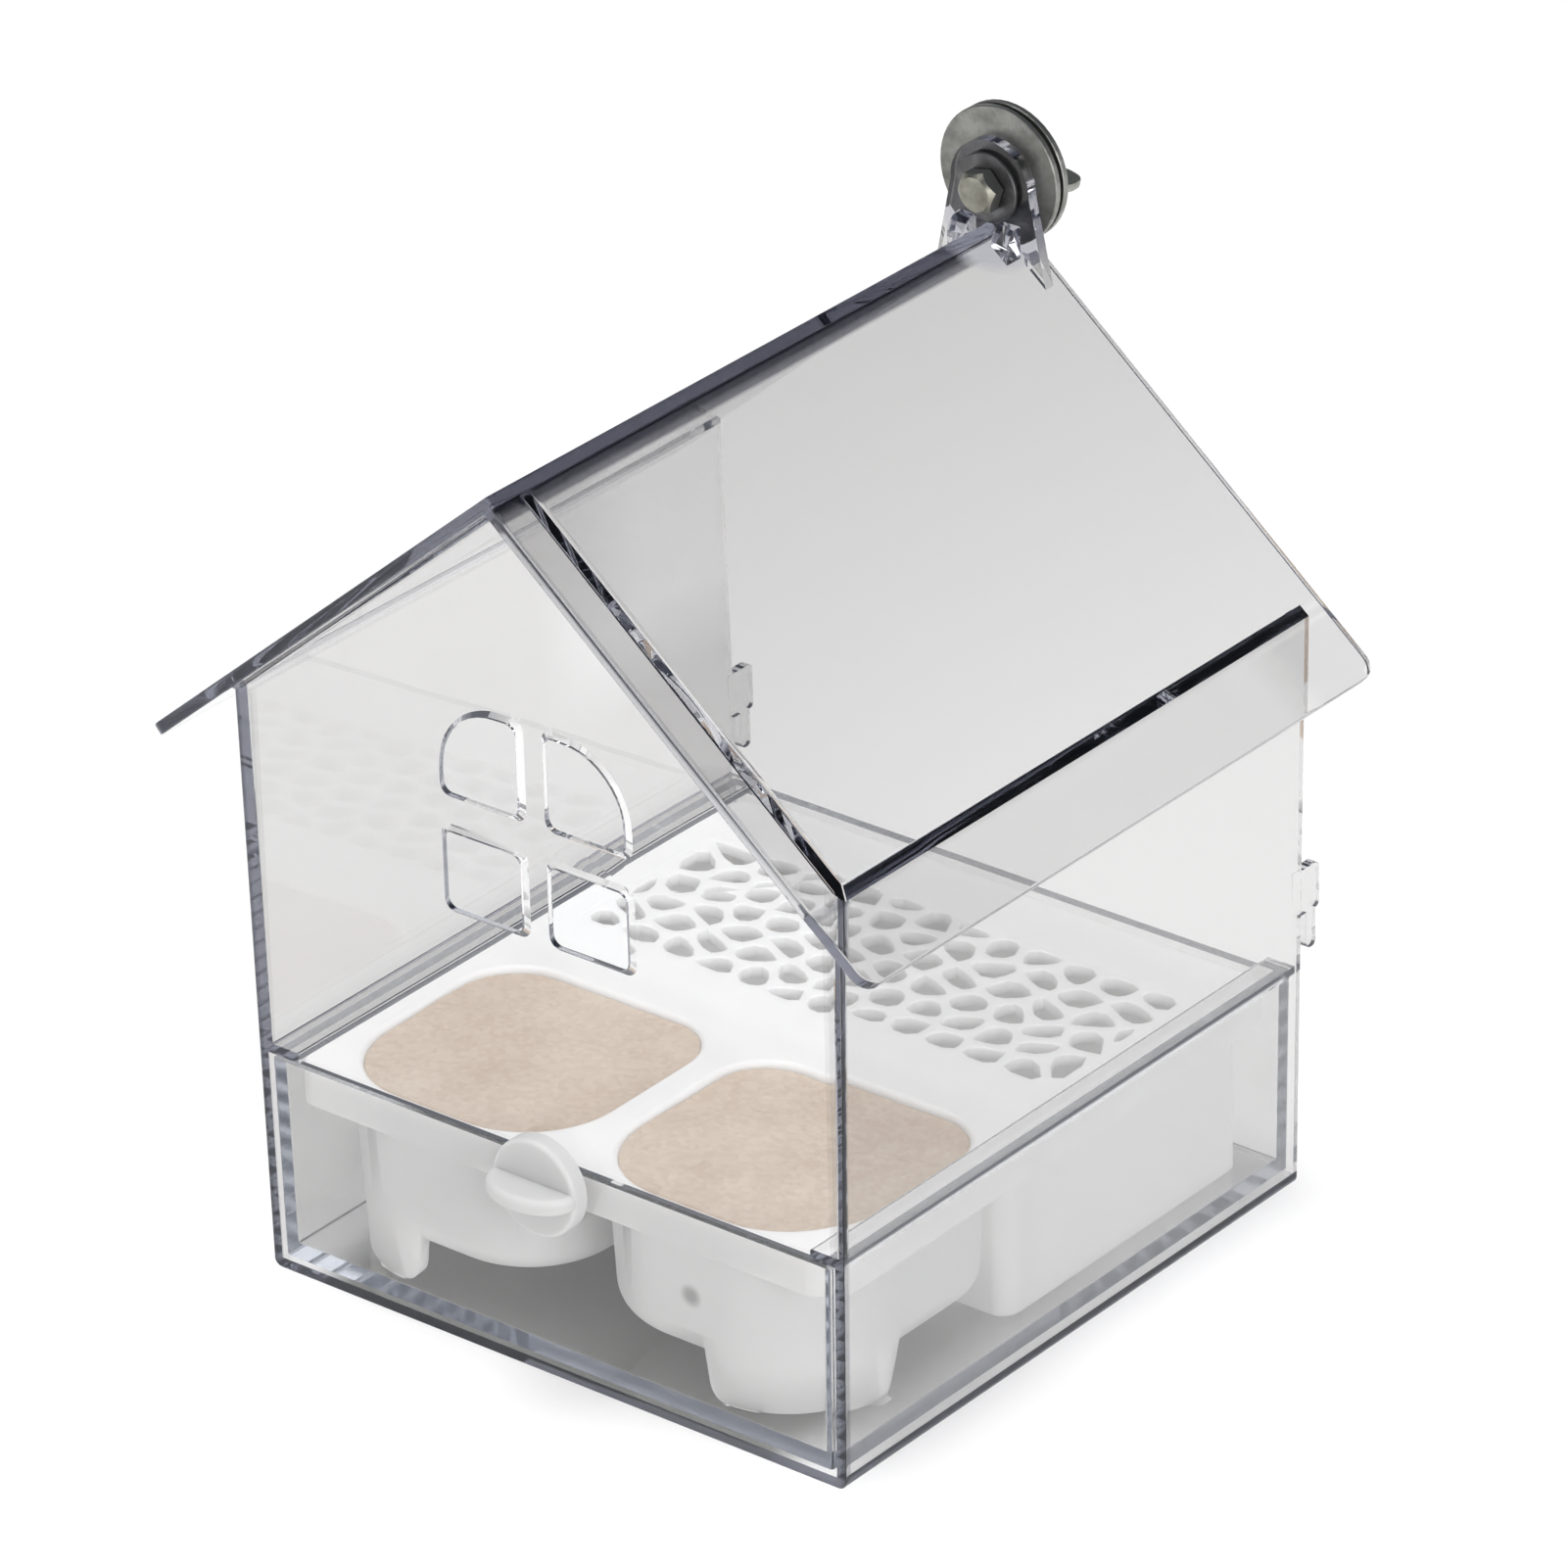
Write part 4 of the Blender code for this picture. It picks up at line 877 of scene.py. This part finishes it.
# %% Flow marks
flow_marks, source, result = new_group("flow_marks", {"Wave size": 35, "Haze size": 60},
                                       {"Height": "Float", "Haze": "Float"})
tree = flow_marks
place = add_node(tree, "TexCoord").outputs["Object"]
waves = add_node(tree, "TexNoise", Vector=place, Scale=source["Wave size"], Detail=2.0, Roughness=0.4)
haze = add_node(tree, "TexNoise", Vector=place, Scale=source["Haze size"], Detail=4.0, Roughness=0.6)
patches = add_node(tree, "MapRange", Value=haze.outputs["Fac"], From_Min=0.5, From_Max=0.75)
stretched = add_node(tree, "Mapping", Vector=place, Rotation=(0.4, 0.7, 0.2), Scale=(900, 40, 900))
hairs = add_node(tree, "TexNoise", Vector=stretched.outputs["Vector"], Scale=1.0, Detail=1.0)
scratches = add_node(tree, "MapRange", Value=hairs.outputs["Fac"], From_Min=0.74, From_Max=0.8)
worn = work_out(tree, "MAXIMUM", patches.outputs["Result"], scratches.outputs["Result"])
tree.links.new(waves.outputs["Fac"], result["Height"])
tree.links.new(worn, result["Haze"])
print("flow_marks nodes", len(tree.nodes))

# %% [markdown]
# ## Clear plastic
#
# The sheet bends light as the real one does, with an index of 1.5. Along an edge, light travels a long
# way inside the plastic and picks up its slight blue-grey tint, which is why every rim and corner looks
# dark. A volume gives that, because it tints by distance. Lamps shine through it to the seed and the
# insert: for shadow and diffuse rays the surface is nearly open.

# %% Clear plastic
haze_roughness, seen_by_lamps = 0.026, 0.015


def clear_plastic(name, tint, density, wave_size, clean, hazy, smooth):
    """A clear moulding with its own tint per metre of plastic, and its colours where clean and where hazy."""
    material, tree, surface, place = new_material(name)
    marks = use_group(tree, flow_marks, Wave_size=wave_size)
    shade = add_node(tree, "MapRange", Value=marks["Haze"], To_Min=smooth, To_Max=smooth + haze_roughness)
    tree.links.new(shade.outputs["Result"], surface.inputs["Roughness"])
    tone = lay_over(tree, clean, marks["Haze"], hazy)
    bump = add_node(tree, "Bump", Height=marks["Height"], Strength=0.06, Distance=0.0004)
    tree.links.new(bump.outputs["Normal"], surface.inputs["Normal"])
    surface.inputs["IOR"].default_value = 1.5
    surface.inputs["Metallic"].default_value = 0
    surface.inputs["Transmission Weight"].default_value = 1
    path = add_node(tree, "LightPath").outputs
    lamp_ray = work_out(tree, "MAXIMUM", path["Is Shadow Ray"], path["Is Diffuse Ray"])
    alpha = add_node(tree, "MapRange", Value=lamp_ray, To_Min=1.0, To_Max=seen_by_lamps)
    tree.links.new(alpha.outputs["Result"], surface.inputs["Alpha"])
    depth = add_node(tree, "VolumeAbsorption", Color=tint, Density=density)
    tree.links.new(depth.outputs["Volume"], tree.nodes["Material Output"].inputs["Volume"])
    return material, tree, surface, place, tone


house_clear, tree, surface, place, tone = clear_plastic(
    "house_clear", tint=(0.42, 0.44, 0.53, 1), density=14.0, wave_size=30.0,
    clean=(0.955, 0.95, 0.945, 1), hazy=(0.935, 0.93, 0.925, 1), smooth=0.004)
print("house_clear nodes", len(tree.nodes))

# %% [markdown]
# The plates of the house get painted shade in their colour, where the real ones look darker for the light
# and for what lies behind them. The side walls and the roof are painted darker than the front, the roof
# darkest towards the ridge, and the left wall's upper back is left clear. The eave's back ends get a
# painted darker patch, and the ridge, the roof's front rim and the front corners get painted dark lines,
# standing in for the dark edges that light bent inside the plastic makes. The base gets a painted shadow
# under the cups, and the ear a painted shade. Each of them gets a mask from its place in the object, in
# metres: where the mask starts, and where it is full. The painted colours are then laid over each other.

# %% Painted shade on the house
axes = add_node(tree, "SeparateXYZ", Vector=place).outputs
width, depth, height = work_out(tree, "ABSOLUTE", axes["X"]), axes["Y"], axes["Z"]
eave_inside, eave_outside = 0.0732, 0.0738


def between(value, start, full):
    """A mask in the tree at hand that rises from nothing at one value to full at another."""
    return add_node(tree, "MapRange", Value=value, From_Min=start, From_Max=full).outputs["Result"]


def overlap(first, *others):
    """A mask in the tree at hand that is full only where all of the given masks are."""
    for other in others:
        first = work_out(tree, "MULTIPLY", first, other)
    return first


below_eave = overlap(between(height, 0.126, 0.1245), between(width, eave_outside, eave_inside))
# Painted shade: the side walls and the roof are darker than the front, the roof darker still towards the ridge.
side_wall = overlap(between(width, 0.0683, 0.0685), below_eave)
up_to_ridge = work_out(tree, "MULTIPLY_ADD", width, roof_slope, height)
over_house = overlap(between(up_to_ridge, 0.1852, 0.1856), between(width, eave_outside, 0.0728))
up_slope = overlap(over_house, between(width, 0.07, 0.0))
# The left wall's upper back is left clear of the painted shade.
far_wall = overlap(side_wall, between(axes["X"], 0.0, -0.01), between(depth, 0.015, 0.045),
                   between(height, 0.075, 0.095))
# Painted shade: a darker patch on the eave's back ends, and painted dark lines along the ridge, the roof's front
# rim and the front corners, for the dark edges that light bent inside the plastic makes.
eave_end = overlap(between(width, eave_outside, 0.0745), between(depth, 0.048, 0.060))
ridge_line = overlap(between(width, 0.0042, 0.0032), between(height, 0.183, 0.1835))
front_rim = overlap(between(depth, -0.0798, -0.0802), between(width, 0.084, 0.05))
width_at_foot = work_out(tree, "MULTIPLY_ADD", height, -lean, width)
wall_corner = overlap(between(width_at_foot, 0.0695, 0.0698), between(depth, -0.0695, -0.07), below_eave)
# Painted shade on the ear, round the bolt.
from_ear = add_node(tree, "VectorMath", {"operation": "DISTANCE"}, _0=place, _1=(0, 0.0690, 0.1935))
ear_shade_mask = between(from_ear.outputs["Value"], 0.0155, 0.0125)
# Painted shadow of the cups on the base, under their front half.
cup_shadow_mask = overlap(between(height, 0.0025, 0.0022), between(width, 0.062, 0.052), between(depth, 0.02, -0.02))
# Each painted tone is laid over the clear colour where its mask is full.
for mask, painted_tone in ((side_wall, (0.765, 0.76, 0.755, 1)), (over_house, (0.80, 0.795, 0.79, 1)),
                    (up_slope, (0.65, 0.645, 0.64, 1)), (far_wall, (0.96, 0.96, 0.96, 1)),
                    (eave_end, (0.79, 0.785, 0.78, 1)), (ridge_line, (0.07, 0.07, 0.085, 1)),
                    (front_rim, (0.42, 0.42, 0.44, 1)), (wall_corner, (0.32, 0.32, 0.34, 1)),
                    (cup_shadow_mask, (0.31, 0.31, 0.30, 1)), (ear_shade_mask, (0.52, 0.52, 0.56, 1))):
    tone = lay_over(tree, tone, mask, painted_tone)
tree.links.new(tone, surface.inputs["Base Color"])
print("house_clear nodes", len(tree.nodes))

# %% [markdown]
# The drawer is moulded from the same plastic in a bluer batch, with a duller skin. Its front is a little
# darker than its sides.

# %% The drawer's plastic
drawer_clear, tree, surface, place, tone = clear_plastic(
    "drawer_clear", tint=(0.45, 0.60, 0.86, 1), density=2.2, wave_size=42.0,
    clean=(0.93, 0.93, 0.93, 1), hazy=(0.91, 0.91, 0.905, 1), smooth=0.03)
in_front = between(add_node(tree, "SeparateXYZ", Vector=place).outputs["Y"], -0.0684, -0.0688)
tone = lay_over(tree, tone, in_front, (0.74, 0.735, 0.73, 1))
tree.links.new(tone, surface.inputs["Base Color"])
print("drawer_clear nodes", len(tree.nodes))

# %% [markdown]
# ## White moulded plastic
#
# The insert and the knob are white polypropylene. It is not a hard white: its colour drifts slightly,
# its skin has a fine grain from the mould, and light goes a little way into it, so its edges glow. Behind
# the cups, where the thin, open standing place is, the white is painted paler: painted light, standing in
# for the light that comes through it. The knob gets a greyer copy of the white, as painted shade.

# %% Moulded grain
moulded_grain, source, result = new_group("moulded_grain", {"Grain size": 2600},
                                          {"Height": "Float", "Drift": "Float", "Sheen": "Float"})
tree = moulded_grain
place = add_node(tree, "TexCoord").outputs["Object"]
fine = add_node(tree, "TexNoise", Vector=place, Scale=source["Grain size"], Detail=2.0)
slow = add_node(tree, "TexNoise", Vector=place, Scale=38.0, Detail=3.0)
shine = add_node(tree, "TexNoise", Vector=place, Scale=140.0, Detail=2.0)
lows = add_node(tree, "MapRange", Value=slow.outputs["Fac"], From_Min=0.3, From_Max=0.7)
tree.links.new(fine.outputs["Fac"], result["Height"])
tree.links.new(lows.outputs["Result"], result["Drift"])
tree.links.new(shine.outputs["Fac"], result["Sheen"])
print("moulded_grain nodes", len(tree.nodes))


def white_plastic(name, bright, drifted, low_rough, high_rough, glow_depth=0.0035):
    """White plastic between two close colours, with a moulded skin."""
    material, tree, surface, place = new_material(name)
    grain = use_group(tree, moulded_grain)
    tone = lay_over(tree, bright, grain["Drift"], drifted)
    shade = add_node(tree, "MapRange", Value=grain["Sheen"], From_Min=0.3, From_Max=0.7,
                     To_Min=low_rough, To_Max=high_rough)
    bump = add_node(tree, "Bump", Height=grain["Height"], Strength=0.12, Distance=0.00005)
    tree.links.new(tone, surface.inputs["Base Color"])
    tree.links.new(shade.outputs["Result"], surface.inputs["Roughness"])
    tree.links.new(bump.outputs["Normal"], surface.inputs["Normal"])
    surface.inputs["Subsurface Weight"].default_value = 0.7
    surface.inputs["Subsurface Radius"].default_value = (1.0, 0.95, 0.9)
    surface.inputs["Subsurface Scale"].default_value = glow_depth
    return material, tree, surface, place, tone


insert_white, tree, surface, place, tone = white_plastic(
    "insert_white", bright=(0.92, 0.91, 0.90, 1), drifted=(0.90, 0.89, 0.88, 1),
    low_rough=0.4, high_rough=0.52, glow_depth=0.007)
# Painted light: the insert behind the cups is made paler, standing in for light that comes through the grille.
behind_cups = between(add_node(tree, "SeparateXYZ", Vector=place).outputs["Y"], -0.006, 0.0)
painted_light_tone = lay_over(tree, tone, behind_cups, (0.985, 0.98, 0.975, 1))
print("insert_white nodes", len(tree.nodes))

# %% [markdown]
# A small grey smudge sits on the front of the right cup. It is a soft mask round one place, mixed over
# the white.

# %% Smudge on the cup
smudge_place = (0.0325, -0.0682, 0.0276)
away = add_node(tree, "VectorMath", {"operation": "DISTANCE"}, _0=place, _1=smudge_place)
spot = add_node(tree, "MapRange", {"interpolation_type": "SMOOTHSTEP"}, Value=away.outputs["Value"],
                From_Min=0.0009, From_Max=0.0032, To_Min=0.75, To_Max=0.0)
smudged = lay_over(tree, painted_light_tone, spot.outputs["Result"], (0.22, 0.22, 0.22, 1))
tree.links.new(smudged, surface.inputs["Base Color"])
# Painted shade: the knob gets a greyer copy of the insert's white plastic.
knob_white = white_plastic("knob_white", (0.60, 0.60, 0.60, 1), (0.57, 0.57, 0.57, 1), 0.4, 0.5)[0]
print("smudge at", smudge_place, "knob_white nodes", len(knob_white.node_tree.nodes))

# %% [markdown]
# ## Zinc-plated steel
#
# Plated washers and bolts are dull, grey-green metal: tumbled in a barrel, so they have short scratches
# in every direction, small dents and darker film where the plating is thin.

# %% Tumbled zinc
tumbled_zinc, source, result = new_group("tumbled_zinc", {"Scratch size": 500},
                                         {"Film": "Float", "Scratch": "Float", "Height": "Float"})
tree = tumbled_zinc
place = add_node(tree, "TexCoord").outputs["Object"]
film = add_node(tree, "TexNoise", Vector=place, Scale=260.0, Detail=5.0, Roughness=0.6)
film_range = add_node(tree, "MapRange", Value=film.outputs["Fac"], From_Min=0.35, From_Max=0.7)
lines = []
for slant in (0.3, 1.4, 2.5):
    laid = add_node(tree, "Mapping", Vector=place, Rotation=(0, slant, 0), Scale=(5, 1, 0.35))
    line = add_node(tree, "TexNoise", Vector=laid.outputs["Vector"], Scale=source["Scratch size"], Detail=1.0)
    lines.append(between(line.outputs["Fac"], 0.66, 0.74))
all_lines = work_out(tree, "MAXIMUM", work_out(tree, "MAXIMUM", lines[0], lines[1]), lines[2])
dents = add_node(tree, "TexVoronoi", {"feature": "SMOOTH_F1"}, Vector=place, Scale=420.0, Smoothness=1.0)
relief = work_out(tree, "MULTIPLY_ADD", all_lines, -0.4, dents.outputs["Distance"])
tree.links.new(film_range.outputs["Result"], result["Film"])
tree.links.new(all_lines, result["Scratch"])
tree.links.new(relief, result["Height"])


def plated_steel(name, bright, dark, rough):
    """Zinc-plated steel between a bright and a filmed colour."""
    material, tree, surface, _ = new_material(name)
    zinc = use_group(tree, tumbled_zinc)
    tone = lay_over(tree, bright, zinc["Film"], dark)
    shade = add_node(tree, "MapRange", Value=zinc["Film"], To_Min=rough, To_Max=rough + 0.16)
    bump = add_node(tree, "Bump", Height=zinc["Height"], Strength=0.25, Distance=0.0001)
    tree.links.new(tone, surface.inputs["Base Color"])
    tree.links.new(shade.outputs["Result"], surface.inputs["Roughness"])
    tree.links.new(bump.outputs["Normal"], surface.inputs["Normal"])
    surface.inputs["Metallic"].default_value = 1
    return material


washer_zinc = plated_steel("washer_zinc", (0.33, 0.33, 0.31, 1), (0.21, 0.215, 0.195, 1), 0.36)
bolt_zinc = plated_steel("bolt_zinc", (0.37, 0.365, 0.315, 1), (0.21, 0.205, 0.165, 1), 0.3)
nut_zinc = plated_steel("nut_zinc", (0.40, 0.40, 0.37, 1), (0.22, 0.22, 0.20, 1), 0.36)
# Painted shade: a darker copy of the bolt's zinc, for the flats of its head.
shaded_flat_zinc = plated_steel("shaded_flat_zinc", (0.33, 0.335, 0.325, 1), (0.20, 0.20, 0.195, 1), 0.34)
# Painted shade: a darker copy of the washer zinc, for the washer under the bolt's head.
shaded_washer_zinc = plated_steel("shaded_washer_zinc", (0.17, 0.17, 0.175, 1), (0.09, 0.09, 0.09, 1), 0.34)
print("tumbled_zinc nodes", len(tumbled_zinc.nodes), "shaded_washer_zinc nodes", len(shaded_washer_zinc.node_tree.nodes))

# %% [markdown]
# ## The seed's finish
#
# The seed is pale and fine. Each grain is one cell of a Voronoi pattern: the cell's own random colour
# shifts its tone a little, and the distance to its middle makes the bump.

# %% Seed grains
seed_beige, tree, surface, place = new_material("seed_beige")
grains = add_node(tree, "TexVoronoi", Vector=place, Scale=820.0)
grain_tone = add_node(tree, "SeparateColor", Color=grains.outputs["Color"])
broad = add_node(tree, "TexNoise", Vector=place, Scale=55.0, Detail=3.0)
tone_sum = work_out(tree, "MULTIPLY_ADD", grain_tone.outputs[0], 0.35, broad.outputs["Fac"])
seed_tone = colour_ramp(tree, tone_sum, (0.3, (0.49, 0.38, 0.30, 1)), (0.95, (0.61, 0.52, 0.43, 1)))
grain_bump = add_node(tree, "Bump", {"invert": True}, Height=grains.outputs["Distance"], Strength=0.35,
                      Distance=0.0003)
tree.links.new(seed_tone, surface.inputs["Base Color"])
tree.links.new(grain_bump.outputs["Normal"], surface.inputs["Normal"])
surface.inputs["Roughness"].default_value = 0.8
print("seed_beige nodes", len(tree.nodes))

# %% [markdown]
# ## Put each finish on its piece
#
# Every new piece rides on a body of the model and says which solids it stands for.

# %% Finishes and bodies
def dress(piece, material, body, slot, *nodes):
    """Give a new piece its finish, its body and the solids that it stands for."""
    piece.data.materials.clear()
    piece.data.materials.append(material)
    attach(piece, body)
    if nodes:
        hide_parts(*nodes)
    print(piece.name, "in", material.name, "rides on the", body, "for", len(nodes), "solids")


dress(clear_house, house_clear, "house", "wall_clear", "left_roof_panel", "right_roof_panel", "front_wall",
      "left_side_wall", "right_side_wall", "left_hook", "right_hook", "base_plate", "left_ledge",
      "right_ledge", "hanger_ear")
dress(clear_drawer, drawer_clear, "drawer", "drawer_clear", "drawer_box")
dress(feeding_insert, insert_white, "drawer", "white_plastic", "insert_tray", "husk_skirt", "left_cup",
      "right_cup", "standing_grille")
dress(moulded_knob, knob_white, "drawer", "white_plastic", "drawer_knob")
dress(left_seed, seed_beige, "drawer", "white_plastic")
dress(right_seed, seed_beige, "drawer", "white_plastic")
dress(threaded_bolt, bolt_zinc, "house", "bolt_steel", "hex_bolt")
dress(cast_wing_nut, nut_zinc, "nut", "nut_steel", "wing_nut")

# %% [markdown]
# The flats of the head get a second metal, a darker copy of the zinc: painted shade, standing in for the
# dark surroundings that they mirror, while the end keeps the lighter zinc.

# %% Painted shade on the sides of the bolt's head
threaded_bolt.data.materials.append(shaded_flat_zinc)
shaded = [face for face in threaded_bolt.data.polygons
          if face.center.y < head_back + 0.0001 and abs(face.normal.y) < 0.5]
for face in shaded:
    face.material_index = 1
print("greasy faces on the bolt's head", len(shaded))

# %% [markdown]
# The washers keep the imported shape. Only their metal is new, set in their material slots.

# %% Washers
# The washer under the bolt's head gets the darker copy of the zinc, as painted shade.
for node, metal in (("head_washer", shaded_washer_zinc), ("front_clamp_washer", washer_zinc),
                    ("rear_clamp_washer", washer_zinc)):
    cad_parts[node].material_slots[0].material = metal
    print(node, "in", metal.name)

# %% [markdown]
# ## Floor and light
#
# The floor is plain white and keeps the feeder's shadow. For the camera, and for rays that come off metal
# or through plastic, it adds just enough of its own light to be pure white where nothing shades it.

# %% Floor
bpy.ops.object.select_all(action="DESELECT")
floor_size, floor_z, floor_glow = 8, -0.0005, 0.03
bpy.ops.mesh.primitive_plane_add(size=floor_size, location=(0, 0, floor_z))
floor = bpy.context.active_object
floor.name = "floor"
floor_white, tree, surface, _ = new_material("floor_white")
path = add_node(tree, "LightPath").outputs
mirrored_or_bent = work_out(tree, "MAXIMUM", path["Is Glossy Ray"], path["Is Transmission Ray"])
seen = work_out(tree, "MAXIMUM", path["Is Camera Ray"], mirrored_or_bent)
glow = add_node(tree, "MapRange", Value=seen, To_Min=0.0, To_Max=floor_glow)
surface.inputs["Base Color"].default_value = (0.88, 0.88, 0.88, 1)
surface.inputs["Roughness"].default_value = 0.9
surface.inputs["Specular IOR Level"].default_value = 0
surface.inputs["Emission Color"].default_value = (1, 1, 1, 1)
tree.links.new(glow.outputs["Result"], surface.inputs["Emission Strength"])
floor.data.materials.append(floor_white)
print("floor", [round(side, 2) for side in floor.dimensions])

# %% [markdown]
# The world gives three answers, one for each kind of ray: plain white to the camera, a soft dome to the
# light that falls on things, and a darker ceiling to what metal and plastic edges mirror, as in a studio.

# %% Sky
world = bpy.data.worlds.new("studio")
bpy.context.scene.world = world
world.use_nodes = True
tree = world.node_tree
tree.nodes.clear()
path = add_node(tree, "LightPath").outputs
direction = add_node(tree, "TexCoord").outputs["Generated"]
above = add_node(tree, "SeparateXYZ", Vector=direction).outputs["Z"]
ceiling = colour_ramp(tree, above, (0.0, (1, 1, 1, 1)), (0.12, (0.42, 0.43, 0.46, 1)),
                      (0.5, (0.10, 0.11, 0.14, 1)), (1.0, (0.05, 0.055, 0.075, 1)))
dome = colour_ramp(tree, above, (0.0, (0.38, 0.38, 0.38, 1)), (0.7, (1, 1, 1, 1)))
mirrored_or_bent = work_out(tree, "MAXIMUM", path["Is Glossy Ray"], path["Is Transmission Ray"])
sky_light = add_node(tree, "Background", Color=dome, Strength=0.82)
sky_mirror = add_node(tree, "Background", Color=ceiling, Strength=1.0)
sky_camera = add_node(tree, "Background", Color=(1, 1, 1, 1), Strength=1.0)
first = add_node(tree, "MixShader", _0=mirrored_or_bent, _1=sky_light.outputs[0], _2=sky_mirror.outputs[0])
last = add_node(tree, "MixShader", _0=path["Is Camera Ray"], _1=first.outputs[0], _2=sky_camera.outputs[0])
tree.links.new(last.outputs[0], add_node(tree, "OutputWorld").inputs["Surface"])
print("sky nodes", len(tree.nodes))

# %% [markdown]
# One wide lamp overhead gives the tops their brightness, and a weaker one on the right opens the shaded
# side.

# %% Lamps
def soft_lamp(name, place, size, power, aim=(0, 0, 0.08)):
    """A square area lamp that looks at the feeder."""
    data = bpy.data.lights.new(name, "AREA")
    data.size = size
    data.energy = power
    lamp = bpy.data.objects.new(name, data)
    bpy.context.scene.collection.objects.link(lamp)
    lamp.location = place
    lamp.rotation_euler = (Vector(aim) - Vector(place)).to_track_quat("-Z", "Y").to_euler()
    lamp.visible_camera = False
    print(name, power, "W at", place)


soft_lamp("key", (-0.35, -0.3, 2.3), 1.2, 21)
soft_lamp("right_fill", (1.7, -0.8, 0.7), 1.0, 16)

# %% [markdown]
# Light has to pass many surfaces of plastic before it gets out again, so the bounces are raised. Everything
# else about the view stays plain.

# %% View
scene = bpy.context.scene
scene.view_settings.view_transform = "Standard"
scene.cycles.max_bounces = 64
scene.cycles.transmission_bounces = 64
scene.cycles.glossy_bounces = 64
scene.cycles.transparent_max_bounces = 32
scene.cycles.diffuse_bounces = 6
print("camera", scene.camera.name, "bounces", scene.cycles.max_bounces)
